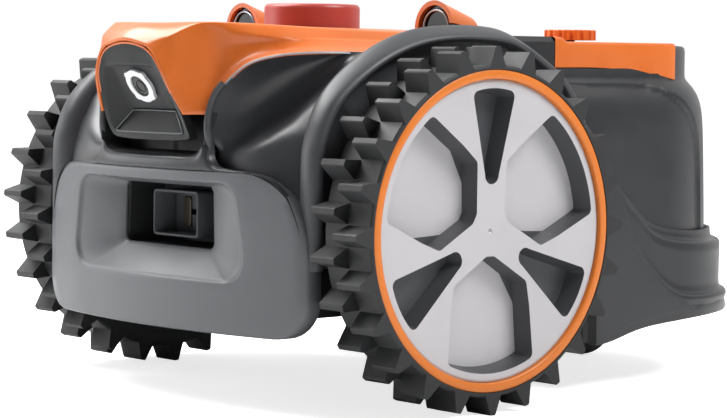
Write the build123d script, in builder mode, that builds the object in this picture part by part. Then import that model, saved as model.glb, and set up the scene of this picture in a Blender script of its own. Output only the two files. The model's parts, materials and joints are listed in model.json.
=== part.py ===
from build123d import *
import math
import os

# Robotic lawn mower: two large driven wheels at the front, one swivelling caster at the rear.
# +X is the mower's left, the nose with its camera points to -Y, +Z is up.
# The origin is on the ground, under the middle of the length and of the width.

# ---------------------------------------------------------------- driving dimensions (mm)
LENGTH = 528.0
WIDTH = 422.0
NOSE_REACH = 165.0          # from the drive axle forward to the tip of the camera hood

WHEEL_DIAMETER = 256.0      # over the tips of the cleats
TYRE_WIDTH = 47.5
CLEAT_HEIGHT = 13.0
CLEATS_PER_ROW = 24
CLEAT_TIP = 5.0
CLEAT_ROOT = 16.0
CLEAT_TIP_BREAK = 0.8       # small bevel on the edges of a cleat's tip
CLEAT_SEAT = 1.0            # how far a cleat is sunk below the shoulder of the tread
LEFT_WHEEL_PHASE = 0.0      # turn of each wheel at rest, in degrees
RIGHT_WHEEL_PHASE = 10.5
RIM_RING_OUTER = 112.0
RIM_RING_INNER = 105.0
RIM_RING_DEPTH = 7.0
RIM_FACE_INSET = 3.0        # ring and cap face, in from the outer face of the tyre
HUB_CAP_THICKNESS = 17.0
HUB_POCKET_DEPTH = 14.0
HUB_POCKET_DRAFT = 15.0
HUB_POCKET_CORNER = 5.0
HUB_DISH = 2.5
HUB_WALL = 6.0
AXLE_DIAMETER = 12.0
BEARING_OUTER = 24.0
MOTOR_DIAMETER = 56.0
MOTOR_LENGTH = 72.0

WALL = 3.0                  # general wall of the moulded shells
SEAM = 0.3                  # gap between neighbouring shells
FIT = 0.05                  # radial running clearance of a shaft in its hole
KEY_GAP = 0.5               # gap round a key or the stop button

FRONT_INSET = 7.0           # ends of the front panel, in from the fender's outer edge
FRONT_BOW_RADIUS = 500.0    # plan radius of the front panel
FRONT_REACH = 144.0         # from the axle to the middle of the front panel
PANEL_BOTTOM = 55.0
PANEL_TOP = 165.0
PANEL_DEPTH = 30.0
PANEL_CORNER = 24.0
DOCK_OPENING = (176.0, 66.0)    # mouth of the docking recess, width and height
DOCK_THROAT = (100.0, 40.0)     # inner end of the docking recess
DOCK_HEIGHT = 128.0
DOCK_DEPTH = 24.0
SOCKET_DEPTH = 34.0

DECK_HEIGHT = 249.0         # seam between the dark body and the orange covers
DECK_INSET = 6.0            # edge of the deck, in from the fender's inner side
DECK_REAR = 62.0            # from the axle to the rear edge of the top cover
COVER_TOP = 268.0
SNOUT_BASE = 206.0
POCKET_HALF_WIDTH = 61.0
POCKET_BOTTOM = 177.0

HOOD_LEAN = 17.0            # the hood's mouth leans forward, in degrees
HOOD_WALL = 3.0
LENS_HEIGHT = 226.0
LENS_RING_DIAMETER = 30.0
LENS_DIAMETER = 17.0

FENDER_TOP = 272.5
FENDER_SETBACK = 23.0       # front edge of the fender, behind the middle of the front panel
WHEEL_GAP = 4.5             # from the fender's outer edge to the tyre
FENDER_DEPTH = 31.0         # from the fender's inner side to its outer edge
FENDER_LIP = 9.0
WEB_INSET = 12.0            # wall behind the wheel, in from the fender's outer edge

STOP_DIAMETER = 72.0
STOP_TOP = 286.5
STOP_STATION = 9.5
STOP_TRAVEL = 4.0

POD_INSET = 16.0            # middle of a lamp pod, in from the fender's inner side
POD_DIAMETER = 41.0
POD_HEIGHT = 268.5
POD_FRONT = 31.0
POD_LENGTH = 32.0

BRIDGE_TOP = 264.0
BRIDGE_REAR = 127.0
BRIDGE_INSET = 18.0         # ends of the bridge, in from the fender's outer edge
PANEL_SIZE = (112.0, 38.0)  # control panel, width and depth
DISPLAY_SIZE = (44.0, 22.0)
KEY_DIAMETER = 11.0
KEY_TRAVEL = 1.5
KEY_RISE = 1.5

REAR_REACH = 363.0          # from the axle to the rear edge of the skirt
REAR_OVERHANG = 13.0        # the rear skirt stands out past the fenders by this much
REAR_CORNER = 118.0
REAR_STEP = 6.0             # each ledge stands out by this much
SHELL_INSET = 13.0
SHELL_BOTTOM = 106.0
SHELL_TOP = 236.0
SHELL_SHOULDER = 17.0
SHELL_REACH = 343.0         # from the axle to the rear end of the shell
SHELL_DRAFT = 2.0           # the shell's sides lean in, in degrees
TAIL_REACH = 322.0
TAIL_SHOULDER = 12.0
TAIL_TOP = 258.0
SKIRT_LEDGE = 68.0
SKIRT_BOTTOM = 43.0
REAR_COVER_TOP = 260.5
REAR_COVER_SIDE_END = 262.0
REAR_COVER_END = 326.0

KNOB_STATION = 289.0
KNOB_DIAMETER = 43.0
KNOB_HEIGHT = 8.5
KNOB_TOP = 271.5
KNOB_SCALLOPS = 16
KNOB_PAD_DIAMETER = 54.0    # thicker round place under the rear cover that carries the stem
STEM_DIAMETER = 8.0

FLOOR_BOTTOM = 68.0
FLOOR_THICKNESS = 4.0
TRAY_GAP = 2.0              # from the side of the tray to the fender's wall
TRAY_FRONT = 108.0
TRAY_WALL_TOP = 100.0

DISC_STATION = 132.0
DISC_DIAMETER = 150.0
DISC_THICKNESS = 3.0
DISC_HEIGHT = 60.0          # underside of the disc at the highest cut
BLADE_TIP_RADIUS = 90.0
BLADE_SIZE = (36.0, 16.0, 0.8)
BLADE_COUNT = 3
BLADE_PIN_DIAMETER = 5.0
CARRIER_DIAMETER = 96.0
CARRIER_HEIGHT = 62.0
CUT_MOTOR_DIAMETER = 60.0

CASTER_STATION = 284.0
CASTER_TRAIL = 25.0
CASTER_DIAMETER = 58.0
CASTER_WIDTH = 24.0
CASTER_STEM = 12.0
CASTER_PIN = 6.0
FORK_WALL = 4.0

# ---------------------------------------------------------------- derived places
AXLE_Y = -LENGTH / 2 + NOSE_REACH
AXLE_Z = WHEEL_DIAMETER / 2
TYRE_OUTER_X = WIDTH / 2
TYRE_INNER_X = WIDTH / 2 - TYRE_WIDTH
TREAD_RADIUS = WHEEL_DIAMETER / 2 - CLEAT_HEIGHT
RIM_FACE_X = TYRE_OUTER_X - RIM_FACE_INSET
FENDER_OUTER = TYRE_INNER_X - WHEEL_GAP
FENDER_INNER = FENDER_OUTER - FENDER_DEPTH
FENDER_WEB = FENDER_OUTER - WEB_INSET
FENDER_FRONT = FRONT_REACH - FENDER_SETBACK
FRONT_HALF_WIDTH = FENDER_OUTER - FRONT_INSET
DECK_HALF_WIDTH = FENDER_INNER - DECK_INSET
POD_SPREAD = FENDER_INNER - POD_INSET
BRIDGE_HALF_WIDTH = FENDER_OUTER - BRIDGE_INSET
REAR_HALF_WIDTH = FENDER_OUTER + REAR_OVERHANG
TRAY_HALF_WIDTH = FENDER_WEB - WALL - TRAY_GAP
SIDES = {"left": 1, "right": -1}


def station(distance):
    """Y of a place that lies this far behind the drive axle."""
    return AXLE_Y + distance


def write_out(piece, label):
    """Label a finished piece and write it as its own STEP file."""
    piece.part.label = label
    export_step(piece.part, f"parts/{label}.step")


def side_plane(x):
    """Plane across the mower at x: its x is the global Y, its y the height."""
    return Plane.YZ.offset(x)


def axle_plane(x):
    """Plane square to the drive axle at x, centred on the axle."""
    return Plane(origin=(x, AXLE_Y, AXLE_Z), x_dir=(0, 1, 0), z_dir=(1, 0, 0))


def front_plane(y):
    """Upright plane at y that looks forward: its x is the global X, its y the height."""
    return Plane(origin=(0, y, 0), x_dir=(1, 0, 0), z_dir=(0, -1, 0))


os.makedirs("parts", exist_ok=True)


# ---------------------------------------------------------------- wheels
SEAT_GAP = 0.1              # gap of a pressed seat between pieces of one wheel
HUB_RADIUS = 104.0
HUB_INNER_X = TYRE_INNER_X + 2.0
RING_BACK_X = RIM_FACE_X - RIM_RING_DEPTH
CAP_BACK_X = RIM_FACE_X - HUB_CAP_THICKNESS
CAP_BODY_RADIUS = HUB_RADIUS - 4.0
HUB_BOSS_DIAMETER = 36.0
HUB_BOSS_LENGTH = 18.0
CAP_DIMPLE_DIAMETER = 4.0
TYRE_EDGE = 1.5             # bevel on the shoulders of the tyre
WHEEL_AXIS = Axis((0, AXLE_Y, AXLE_Z), (1, 0, 0))


def wheel_profile(side, points):
    """Close a half section of the wheel, given as (distance from the middle, radius)."""
    Polygon(*[(side * x, AXLE_Z + r) for x, r in points], align=None)


def build_tyre(side, phase):
    row_width = TYRE_WIDTH / 2
    row_pitch = 360 / CLEATS_PER_ROW
    with BuildPart() as tyre:
        with BuildSketch(front_plane(AXLE_Y)):
            wheel_profile(side, [
                (TYRE_INNER_X, HUB_RADIUS),
                (RING_BACK_X, HUB_RADIUS),
                (RING_BACK_X, RIM_RING_OUTER),
                (TYRE_OUTER_X, RIM_RING_OUTER),
                (TYRE_OUTER_X, TREAD_RADIUS - TYRE_EDGE),
                (TYRE_OUTER_X - TYRE_EDGE, TREAD_RADIUS),
                (TYRE_INNER_X + TYRE_EDGE, TREAD_RADIUS),
                (TYRE_INNER_X, TREAD_RADIUS - TYRE_EDGE),
            ])
        revolve(axis=WHEEL_AXIS)
        for row in range(2):
            start = phase + row * row_pitch / 2
            tip = WHEEL_DIAMETER / 2
            root = TREAD_RADIUS - TYRE_EDGE - CLEAT_SEAT
            with BuildSketch(axle_plane(side * (TYRE_OUTER_X - row * row_width))):
                with PolarLocations(0, CLEATS_PER_ROW, start_angle=start):
                    Polygon(
                        (root, -CLEAT_ROOT / 2),
                        (tip - CLEAT_TIP_BREAK, -CLEAT_TIP / 2),
                        (tip, -CLEAT_TIP / 2 + CLEAT_TIP_BREAK),
                        (tip, CLEAT_TIP / 2 - CLEAT_TIP_BREAK),
                        (tip - CLEAT_TIP_BREAK, CLEAT_TIP / 2),
                        (root, CLEAT_ROOT / 2),
                        align=None,
                    )
            extrude(amount=-side * row_width)
    return tyre


def build_rim_ring(side):
    with BuildPart() as rim_ring:
        with BuildSketch(axle_plane(side * RING_BACK_X)):
            Circle(RIM_RING_OUTER - SEAT_GAP)
            Circle(RIM_RING_INNER, mode=Mode.SUBTRACT)
        extrude(amount=side * RIM_RING_DEPTH)
        outer_rims = rim_ring.edges().filter_by(GeomType.CIRCLE).group_by(Axis.X)[-1 if side > 0 else 0]
        chamfer(outer_rims, length=0.8)
    return rim_ring


def build_hub(side):
    with BuildPart() as hub:
        with BuildSketch(front_plane(AXLE_Y)):
            wheel_profile(side, [
                (HUB_INNER_X, HUB_RADIUS - SEAT_GAP),
                (RING_BACK_X - SEAT_GAP, HUB_RADIUS - SEAT_GAP),
                (RING_BACK_X - SEAT_GAP, CAP_BODY_RADIUS),
                (CAP_BACK_X - SEAT_GAP, CAP_BODY_RADIUS),
                (CAP_BACK_X - SEAT_GAP, AXLE_DIAMETER / 2),
                (CAP_BACK_X - HUB_BOSS_LENGTH, AXLE_DIAMETER / 2),
                (CAP_BACK_X - HUB_BOSS_LENGTH, HUB_BOSS_DIAMETER / 2),
                (CAP_BACK_X - HUB_WALL, HUB_BOSS_DIAMETER / 2),
                (CAP_BACK_X - HUB_WALL, CAP_BODY_RADIUS),
                (HUB_INNER_X, CAP_BODY_RADIUS),
            ])
        revolve(axis=WHEEL_AXIS)
    return hub


def hub_slot():
    """Tapered slot of the hub cap, along local +x from the hub to the rim."""
    slot_tip, slot_rim = 32.0, 98.0
    tip_half, rim_half = 7.0, 20.5
    with BuildSketch() as slot:
        with BuildLine():
            tip = ThreePointArc(
                (slot_tip + tip_half, -tip_half), (slot_tip, 0), (slot_tip + tip_half, tip_half))
            rim = ThreePointArc((slot_rim - 2, -rim_half), (slot_rim + 1, 0), (slot_rim - 2, rim_half))
            Line(tip @ 0, rim @ 0)
            Line(tip @ 1, rim @ 1)
        make_face()
        fillet(slot.vertices(), HUB_POCKET_CORNER)
    return slot.sketch


def hub_lobe():
    """Six-cornered lobe of the hub cap, along local +x, with its outer side round."""
    lobe_rim = 99.0
    rim_half_angle = math.radians(24.5)
    rim_x = lobe_rim * math.cos(rim_half_angle)
    rim_y = lobe_rim * math.sin(rim_half_angle)
    with BuildSketch() as lobe:
        with BuildLine():
            inner = Polyline((rim_x, -rim_y), (54, -38), (36, -35), (17, -4), (17, 4),
                             (36, 35), (54, 38), (rim_x, rim_y))
            ThreePointArc(inner @ 0, (lobe_rim, 0), inner @ 1)
        make_face()
        fillet(lobe.vertices(), HUB_POCKET_CORNER)
    return lobe.sketch


def face_plane(side, angle):
    """Plane of a wheel's outer face whose x points out from the axle at an angle."""
    turn = math.radians(angle)
    return Plane(origin=(side * RIM_FACE_X, AXLE_Y, AXLE_Z),
                 x_dir=(0, math.cos(turn), math.sin(turn)), z_dir=(side, 0, 0))


def build_hub_cap(side, phase):
    first_slot = 90.0 + phase
    cap_lip_radius = RIM_RING_INNER - SEAT_GAP
    with BuildPart() as hub_cap:
        with BuildSketch(front_plane(AXLE_Y)):
            wheel_profile(side, [
                (CAP_BACK_X, 0),
                (CAP_BACK_X, CAP_BODY_RADIUS - SEAT_GAP),
                (RING_BACK_X, CAP_BODY_RADIUS - SEAT_GAP),
                (RING_BACK_X, cap_lip_radius),
                (RIM_FACE_X - 0.6, cap_lip_radius),
                (RIM_FACE_X, cap_lip_radius - 1.5),
                (RIM_FACE_X - HUB_DISH, CAP_DIMPLE_DIAMETER / 2),
                (RIM_FACE_X - HUB_DISH - 1.5, 0),
            ])
        revolve(axis=WHEEL_AXIS)
        for pocket, angle in ((hub_slot(), first_slot), (hub_lobe(), first_slot + 60)):
            for turn in range(3):
                with BuildSketch(face_plane(side, angle + turn * 120)):
                    add(pocket)
                extrude(amount=-HUB_POCKET_DEPTH, taper=HUB_POCKET_DRAFT, mode=Mode.SUBTRACT)
    return hub_cap


MOTOR_FACE_X = TRAY_HALF_WIDTH - FLOOR_THICKNESS - SEAM
MOTOR_GRIP = 18.0           # length of the axle inside the motor


def build_axle(side):
    with BuildPart() as axle:
        with BuildSketch(axle_plane(side * (CAP_BACK_X - 2))):
            Circle(AXLE_DIAMETER / 2 - SEAT_GAP / 2)
        extrude(amount=-side * (CAP_BACK_X - 2 - MOTOR_FACE_X + MOTOR_GRIP))
        chamfer(axle.edges().filter_by(GeomType.CIRCLE), length=0.8)
    return axle


for name, side in SIDES.items():
    phase = LEFT_WHEEL_PHASE if side > 0 else RIGHT_WHEEL_PHASE
    write_out(build_tyre(side, phase), f"{name}_tyre")
    write_out(build_rim_ring(side), f"{name}_rim_ring")
    write_out(build_hub(side), f"{name}_wheel_hub")
    write_out(build_hub_cap(side, phase), f"{name}_hub_cap")
    write_out(build_axle(side), f"{name}_axle")


# ---------------------------------------------------------------- front panel and dock
BULGE_INSET = 2.0           # the cheeks stand back from the band round the front panel
BAND_WIDTH = 7.5
PANEL_BACK = FRONT_REACH - PANEL_DEPTH
DOCK_CORNER = 11.0
DOCK_TOP_TAPER = 13.0       # the mouth is this much narrower at its top, on each side
SOCKET_WALL = 2.5
CONTACT_SIZE = (9.0, 22.0, 1.6)
CONTACT_SPACING = 20.0
CONTACT_BLOCK = (46.0, 30.0, 10.0)


def bow_y(x, inset=0.0):
    """Y of the bowed front at x, or of a surface this far behind it."""
    return station(-FRONT_REACH) + inset + FRONT_BOW_RADIUS - math.sqrt(FRONT_BOW_RADIUS**2 - x**2)


def bow_plan(half_width, back, inset=0.0):
    """Plan of a slab with the bowed front and a straight back."""
    with BuildSketch() as plan:
        with BuildLine():
            side_y = bow_y(half_width, inset)
            front = ThreePointArc((-half_width, side_y), (0, bow_y(0, inset)), (half_width, side_y))
            Polyline(front @ 1, (half_width, back), (-half_width, back), front @ 0)
        make_face()
    return plan.sketch


def panel_outline(grow=0.0):
    """Front view of the front panel, grown all round."""
    half = FRONT_HALF_WIDTH
    right = [(half - 40, PANEL_TOP), (half - 17, PANEL_TOP - 15), (half, PANEL_TOP - 58),
             (half, PANEL_BOTTOM)]
    left = [(-x, z) for x, z in reversed(right)]
    with BuildSketch() as outline:
        Polygon(*right, *left, align=None)
        fillet(outline.vertices().group_by(Axis.Y)[0], PANEL_CORNER)
        fillet(outline.vertices().group_by(Axis.Y)[-1], 12)
        if grow:
            offset(amount=grow)
    return outline.sketch


def dock_outline(size, height, top_taper, grow=0.0):
    """Rounded four-sided opening of the docking recess, centred at a height."""
    half, rise = size[0] / 2, size[1] / 2
    with BuildSketch() as outline:
        Polygon((-half, height - rise), (half, height - rise),
                (half - top_taper, height + rise), (-half + top_taper, height + rise), align=None)
        fillet(outline.vertices(), DOCK_CORNER * size[0] / DOCK_OPENING[0])
        if grow:
            offset(amount=grow)
    return outline.sketch


DOCK_MOUTH_Y = station(-FRONT_REACH) - 1
DOCK_THROAT_Y = station(-FRONT_REACH) + DOCK_DEPTH
THROAT_HEIGHT = DOCK_HEIGHT + 5

with BuildPart() as panel_cavity:
    with BuildSketch(Plane.XY.offset(PANEL_BOTTOM)):
        add(bow_plan(FRONT_HALF_WIDTH, station(-PANEL_BACK) + 1, inset=WALL))
    extrude(amount=PANEL_TOP - PANEL_BOTTOM)
    with BuildSketch(front_plane(DOCK_MOUTH_Y)):
        add(panel_outline(-WALL))
    extrude(amount=-PANEL_DEPTH - 5, mode=Mode.INTERSECT)

with BuildPart() as front_panel:
    with BuildSketch(Plane.XY.offset(PANEL_BOTTOM)):
        add(bow_plan(FRONT_HALF_WIDTH, station(-PANEL_BACK)))
    extrude(amount=PANEL_TOP - PANEL_BOTTOM)
    with BuildSketch(front_plane(DOCK_MOUTH_Y)):
        add(panel_outline())
    extrude(amount=-PANEL_DEPTH - 5, mode=Mode.INTERSECT)
    add(panel_cavity.part, mode=Mode.SUBTRACT)
    with BuildSketch(front_plane(DOCK_MOUTH_Y + WALL + 1)):
        add(dock_outline(DOCK_OPENING, DOCK_HEIGHT, DOCK_TOP_TAPER, grow=WALL))
    with BuildSketch(front_plane(DOCK_THROAT_Y)):
        add(dock_outline(DOCK_THROAT, THROAT_HEIGHT, 1.5, grow=WALL))
    loft()
    with BuildSketch(front_plane(DOCK_MOUTH_Y - 3)):
        add(dock_outline(DOCK_OPENING, DOCK_HEIGHT, DOCK_TOP_TAPER, grow=5))
    with BuildSketch(front_plane(DOCK_THROAT_Y)):
        add(dock_outline(DOCK_THROAT, THROAT_HEIGHT, 1.5))
    loft(mode=Mode.SUBTRACT)
    with BuildSketch(Plane.XY.offset(PANEL_BOTTOM)):
        add(bow_plan(FRONT_HALF_WIDTH + WALL, station(-PANEL_BACK)))
    extrude(amount=PANEL_TOP - PANEL_BOTTOM, mode=Mode.INTERSECT)
write_out(front_panel, "front_panel")

with BuildPart() as dock_socket:
    with BuildSketch(front_plane(DOCK_THROAT_Y + SEAM)):
        add(dock_outline(DOCK_THROAT, THROAT_HEIGHT, 1.5, grow=SOCKET_WALL))
    extrude(amount=-SOCKET_DEPTH)
    with BuildSketch(front_plane(DOCK_THROAT_Y + SEAM)):
        add(dock_outline(DOCK_THROAT, THROAT_HEIGHT, 1.5))
    extrude(amount=-SOCKET_DEPTH + SOCKET_WALL, mode=Mode.SUBTRACT)
    with BuildSketch(front_plane(DOCK_THROAT_Y + SEAM + SOCKET_DEPTH - SOCKET_WALL)):
        with Locations((0, THROAT_HEIGHT)):
            RectangleRounded(CONTACT_BLOCK[0], CONTACT_BLOCK[1], 3)
    extrude(amount=CONTACT_BLOCK[2])
write_out(dock_socket, "dock_socket")

CONTACT_FACE_Y = DOCK_THROAT_Y + SEAM + SOCKET_DEPTH - SOCKET_WALL - CONTACT_BLOCK[2]
with BuildPart() as charge_contacts:
    with BuildSketch(front_plane(CONTACT_FACE_Y)):
        with Locations((-CONTACT_SPACING / 2, THROAT_HEIGHT), (CONTACT_SPACING / 2, THROAT_HEIGHT)):
            RectangleRounded(CONTACT_SIZE[0], CONTACT_SIZE[1], 2)
    extrude(amount=CONTACT_SIZE[2])
    chamfer(charge_contacts.faces().filter_by(Axis.Y).group_by(Axis.Y)[0].edges(), length=0.5)
write_out(charge_contacts, "charge_contacts")

# ---------------------------------------------------------------- fenders
FENDER_MIDDLE = 15.0        # from the axle back to the crown of the fender
FENDER_REAR = 157.0
FENDER_SPRING = 154.0       # height where the front edge starts to curve
FENDER_REAR_SPRING = 122.0
FENDER_BOTTOM = 102.0
AXLE_CLEARANCE = 20.0
ARCH_DROP = 120.0           # height of the space kept free beside a wheel


def fender_outline(shrink=0.0):
    """Side view of the fender: upright front edge, two long arcs, upright rear edge."""
    crown = (station(FENDER_MIDDLE), FENDER_TOP)
    with BuildSketch() as outline:
        with BuildLine():
            front = ThreePointArc(
                (station(-FENDER_FRONT), FENDER_SPRING), (station(-72), FENDER_TOP - 26), crown)
            rear = ThreePointArc(
                crown, (station(114), FENDER_TOP - 37), (station(FENDER_REAR), FENDER_REAR_SPRING))
            Polyline(front @ 0, (station(-FENDER_FRONT), FENDER_BOTTOM),
                     (station(FENDER_REAR), FENDER_BOTTOM), rear @ 1)
        make_face()
        if shrink:
            offset(amount=-shrink)
    return outline.sketch


def build_fender(side):
    web_inner = FENDER_WEB - WALL
    with BuildPart() as fender:
        with BuildSketch(side_plane(side * FENDER_INNER)):
            add(fender_outline())
        extrude(amount=side * (FENDER_OUTER - FENDER_INNER))
        with BuildSketch(side_plane(side * FENDER_WEB)):
            add(fender_outline(FENDER_LIP))
            with Locations((station(FENDER_MIDDLE), FENDER_BOTTOM + FENDER_LIP)):
                Rectangle(FENDER_REAR + FENDER_FRONT - 2 * FENDER_LIP, 3 * FENDER_LIP)
        extrude(amount=side * (FENDER_OUTER - FENDER_WEB + 1), mode=Mode.SUBTRACT)
        with BuildSketch(side_plane(side * (FENDER_INNER + WALL))):
            add(fender_outline(WALL))
            with Locations((station(FENDER_MIDDLE), FENDER_BOTTOM)):
                Rectangle(FENDER_REAR + FENDER_FRONT - 2 * WALL, 3 * WALL)
        extrude(amount=side * (web_inner - FENDER_INNER - WALL), mode=Mode.SUBTRACT)
        with BuildSketch(side_plane(side * (FENDER_INNER - 1))):
            opening_top = DECK_HEIGHT - 2 * WALL
            with Locations((station(FENDER_MIDDLE - 5), (FENDER_BOTTOM + opening_top) / 2 - 1)):
                Rectangle(FENDER_REAR + FENDER_FRONT - 70, opening_top - FENDER_BOTTOM + 2)
        extrude(amount=side * (WALL + 2), mode=Mode.SUBTRACT)
        with BuildSketch(axle_plane(side * (web_inner - 1))):
            Circle(AXLE_CLEARANCE)
        extrude(amount=side * (WALL + 2), mode=Mode.SUBTRACT)
        with BuildSketch(front_plane(station(-FRONT_REACH) - 5)):
            add(panel_outline(BAND_WIDTH + SEAM))
        extrude(amount=-(PANEL_DEPTH + 5 + SEAM), mode=Mode.SUBTRACT)
    return fender


for name, side in SIDES.items():
    write_out(build_fender(side), f"{name}_fender")

def arch_cut(side):
    """Space kept clear for the fender and the wheel."""
    with BuildPart() as cut:
        with BuildSketch(side_plane(side * (FENDER_INNER - SEAM))):
            add(fender_outline())
            with Locations((station(0), FENDER_BOTTOM)):
                Rectangle(2 * FENDER_REAR, ARCH_DROP)
            offset(amount=SEAM)
        extrude(amount=side * (WIDTH / 2 - FENDER_INNER))
    return cut.part


# ---------------------------------------------------------------- dark front shell
SHELL_HALF = FENDER_INNER - SEAM
CHEEK_FOOT = 181.0          # height where the cheek turns back from the front face
CHEEK_TOP = 80.0            # from the axle forward to the head of the cheek


def front_profile(inset=0.0):
    """Side view of the front shell from the band up over the cheek to the deck."""
    top = DECK_HEIGHT - inset
    with BuildSketch() as profile:
        with BuildLine():
            cheek = ThreePointArc(
                (station(-124) + inset, CHEEK_FOOT - inset), (station(-94) + inset, 206 - inset),
                (station(-CHEEK_TOP) + inset, top))
            Polyline(cheek @ 1, (station(DECK_REAR) - inset, top),
                     (station(DECK_REAR) - inset, TRAY_WALL_TOP + SEAM - 2 * inset),
                     (station(-FRONT_REACH - 5) + inset, TRAY_WALL_TOP + SEAM - 2 * inset),
                     (station(-FRONT_REACH - 5) + inset, CHEEK_FOOT - inset), cheek @ 0)
        make_face()
    return profile.sketch


with BuildPart() as front_cavity:
    with BuildSketch(side_plane(-SHELL_HALF - 1)):
        add(front_profile(WALL))
    extrude(amount=2 * (SHELL_HALF + 1))
    with BuildSketch(Plane.XY.offset(FLOOR_BOTTOM)):
        add(bow_plan(SHELL_HALF + 1, station(DECK_REAR), inset=BULGE_INSET + WALL))
    extrude(amount=DECK_HEIGHT, mode=Mode.INTERSECT)

POCKET_DEPTH = 26.0
POCKET_FOOT = 50.0          # half width of the pocket's floor
BAND_THICKNESS = 6.0
STRIP_HALF = POCKET_HALF_WIDTH + BAND_WIDTH
SNOUT_TRIM = 138.0          # the snout's foot stops here, behind the band


def snout_plan(inset=0.0):
    """Plan of the snout's foot: narrow at the hood, flaring out to the deck."""
    half = DECK_HALF_WIDTH
    right = [(49 - inset, station(-152)), (66 - inset, station(-118)), (half - 10 - inset, station(-86)),
             (DECK_HALF_WIDTH - inset, station(-58)), (DECK_HALF_WIDTH - inset, station(-40))]
    with BuildSketch() as plan:
        Polygon(*right, *[(-x, y) for x, y in reversed(right)], align=None)
    return plan.sketch


with BuildPart() as nose_band:
    with BuildSketch(Plane.XY.offset(TRAY_WALL_TOP + SEAM)):
        add(bow_plan(FRONT_HALF_WIDTH, station(-PANEL_BACK)))
        add(bow_plan(FRONT_HALF_WIDTH, station(-PANEL_BACK), BAND_THICKNESS), mode=Mode.SUBTRACT)
    extrude(amount=SNOUT_BASE - TRAY_WALL_TOP)
    with BuildSketch(front_plane(DOCK_MOUTH_Y)):
        add(panel_outline(BAND_WIDTH))
        with Locations((0, (PANEL_TOP + SNOUT_BASE) / 2)):
            Rectangle(2 * STRIP_HALF, SNOUT_BASE - PANEL_TOP)
        add(panel_outline(SEAM), mode=Mode.SUBTRACT)
    extrude(amount=-PANEL_DEPTH - 5, mode=Mode.INTERSECT)

with BuildPart() as front_shell:
    with BuildSketch(side_plane(-SHELL_HALF)):
        add(front_profile())
    extrude(amount=2 * SHELL_HALF)
    with BuildSketch(Plane.XY.offset(FLOOR_BOTTOM)):
        add(bow_plan(SHELL_HALF, station(DECK_REAR), inset=BULGE_INSET))
    extrude(amount=DECK_HEIGHT, mode=Mode.INTERSECT)
    add(front_cavity.part, mode=Mode.SUBTRACT)
    with BuildSketch(Plane.XY.offset(CHEEK_FOOT)):
        add(snout_plan())
        with Locations((0, station(-SNOUT_TRIM))):
            Rectangle(WIDTH, 30, align=(Align.CENTER, Align.MAX), mode=Mode.SUBTRACT)
    extrude(amount=DECK_HEIGHT - CHEEK_FOOT)
    with BuildSketch(side_plane(-SHELL_HALF)):
        Polygon((station(-160), SNOUT_BASE - 1.5), (station(-118), SNOUT_BASE + 4.5),
                (station(-86), DECK_HEIGHT - 3), (station(-CHEEK_TOP), DECK_HEIGHT),
                (station(-CHEEK_TOP), COVER_TOP), (station(-160), COVER_TOP), align=None)
    extrude(amount=2 * SHELL_HALF, mode=Mode.SUBTRACT)
    with BuildSketch(Plane.XY.offset(CHEEK_FOOT + WALL)):
        add(snout_plan(WALL))
    extrude(amount=DECK_HEIGHT - CHEEK_FOOT, mode=Mode.SUBTRACT)
    with BuildSketch(front_plane(DOCK_MOUTH_Y)):
        add(panel_outline(SEAM))
    extrude(amount=-(FRONT_REACH - PANEL_BACK + 1 + SEAM), mode=Mode.SUBTRACT)
    add(nose_band.part)
    with BuildSketch(front_plane(DOCK_MOUTH_Y)):
        Polygon((-POCKET_FOOT, POCKET_BOTTOM), (POCKET_FOOT, POCKET_BOTTOM),
                (POCKET_HALF_WIDTH, POCKET_BOTTOM + 14), (POCKET_HALF_WIDTH, SNOUT_BASE + 1),
                (-POCKET_HALF_WIDTH, SNOUT_BASE + 1), (-POCKET_HALF_WIDTH, POCKET_BOTTOM + 14),
                align=None)
    extrude(amount=-POCKET_DEPTH, mode=Mode.SUBTRACT)
write_out(front_shell, "front_shell")

# ---------------------------------------------------------------- orange top cover
MOUTH_REACH = 148.7         # from the axle forward to the lower edge of the hood's mouth
MOUTH_FOOT = 49.0           # half width of the mouth at its lower edge
MOUTH_HEAD = 33.0           # half width of the mouth below its round top
MOUTH_RISE = 56.0           # height of the mouth, measured along its lean


def hood_plane(shift=0.0):
    """Plane of the hood's mouth, shifted back into the hood."""
    lean = math.radians(HOOD_LEAN)
    origin = (0, station(-MOUTH_REACH) + shift, SNOUT_BASE)
    return Plane(origin=origin, x_dir=(1, 0, 0), z_dir=(0, -math.cos(lean), -math.sin(lean)))


def cover_section(foot, side, side_height, head, head_height, foot_height, inset=0.0):
    """Six-sided section through the cover, all sides moved in by the inset."""
    drop = 2 if inset else 0
    Polygon((foot - inset, foot_height - drop), (side - inset, side_height - inset / 2),
            (head - inset / 2, head_height - inset), (-head + inset / 2, head_height - inset),
            (-side + inset, side_height - inset / 2), (-foot + inset, foot_height - drop), align=None)


COVER_SECTIONS = (
    (118, (66, 62, 246, 46, 269, 212)),
    (84, (DECK_HALF_WIDTH - 10, DECK_HALF_WIDTH - 21, 262, DECK_HALF_WIDTH - 44, 269.5,
          DECK_HEIGHT + SEAM)),
    (58, (DECK_HALF_WIDTH, DECK_HALF_WIDTH - 9, 263, DECK_HALF_WIDTH - 24, COVER_TOP + 1,
          DECK_HEIGHT + SEAM)),
    (-DECK_REAR, (DECK_HALF_WIDTH, DECK_HALF_WIDTH - 9, 261, DECK_HALF_WIDTH - 24, COVER_TOP - 1.5,
                  DECK_HEIGHT + SEAM)),
)


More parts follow.
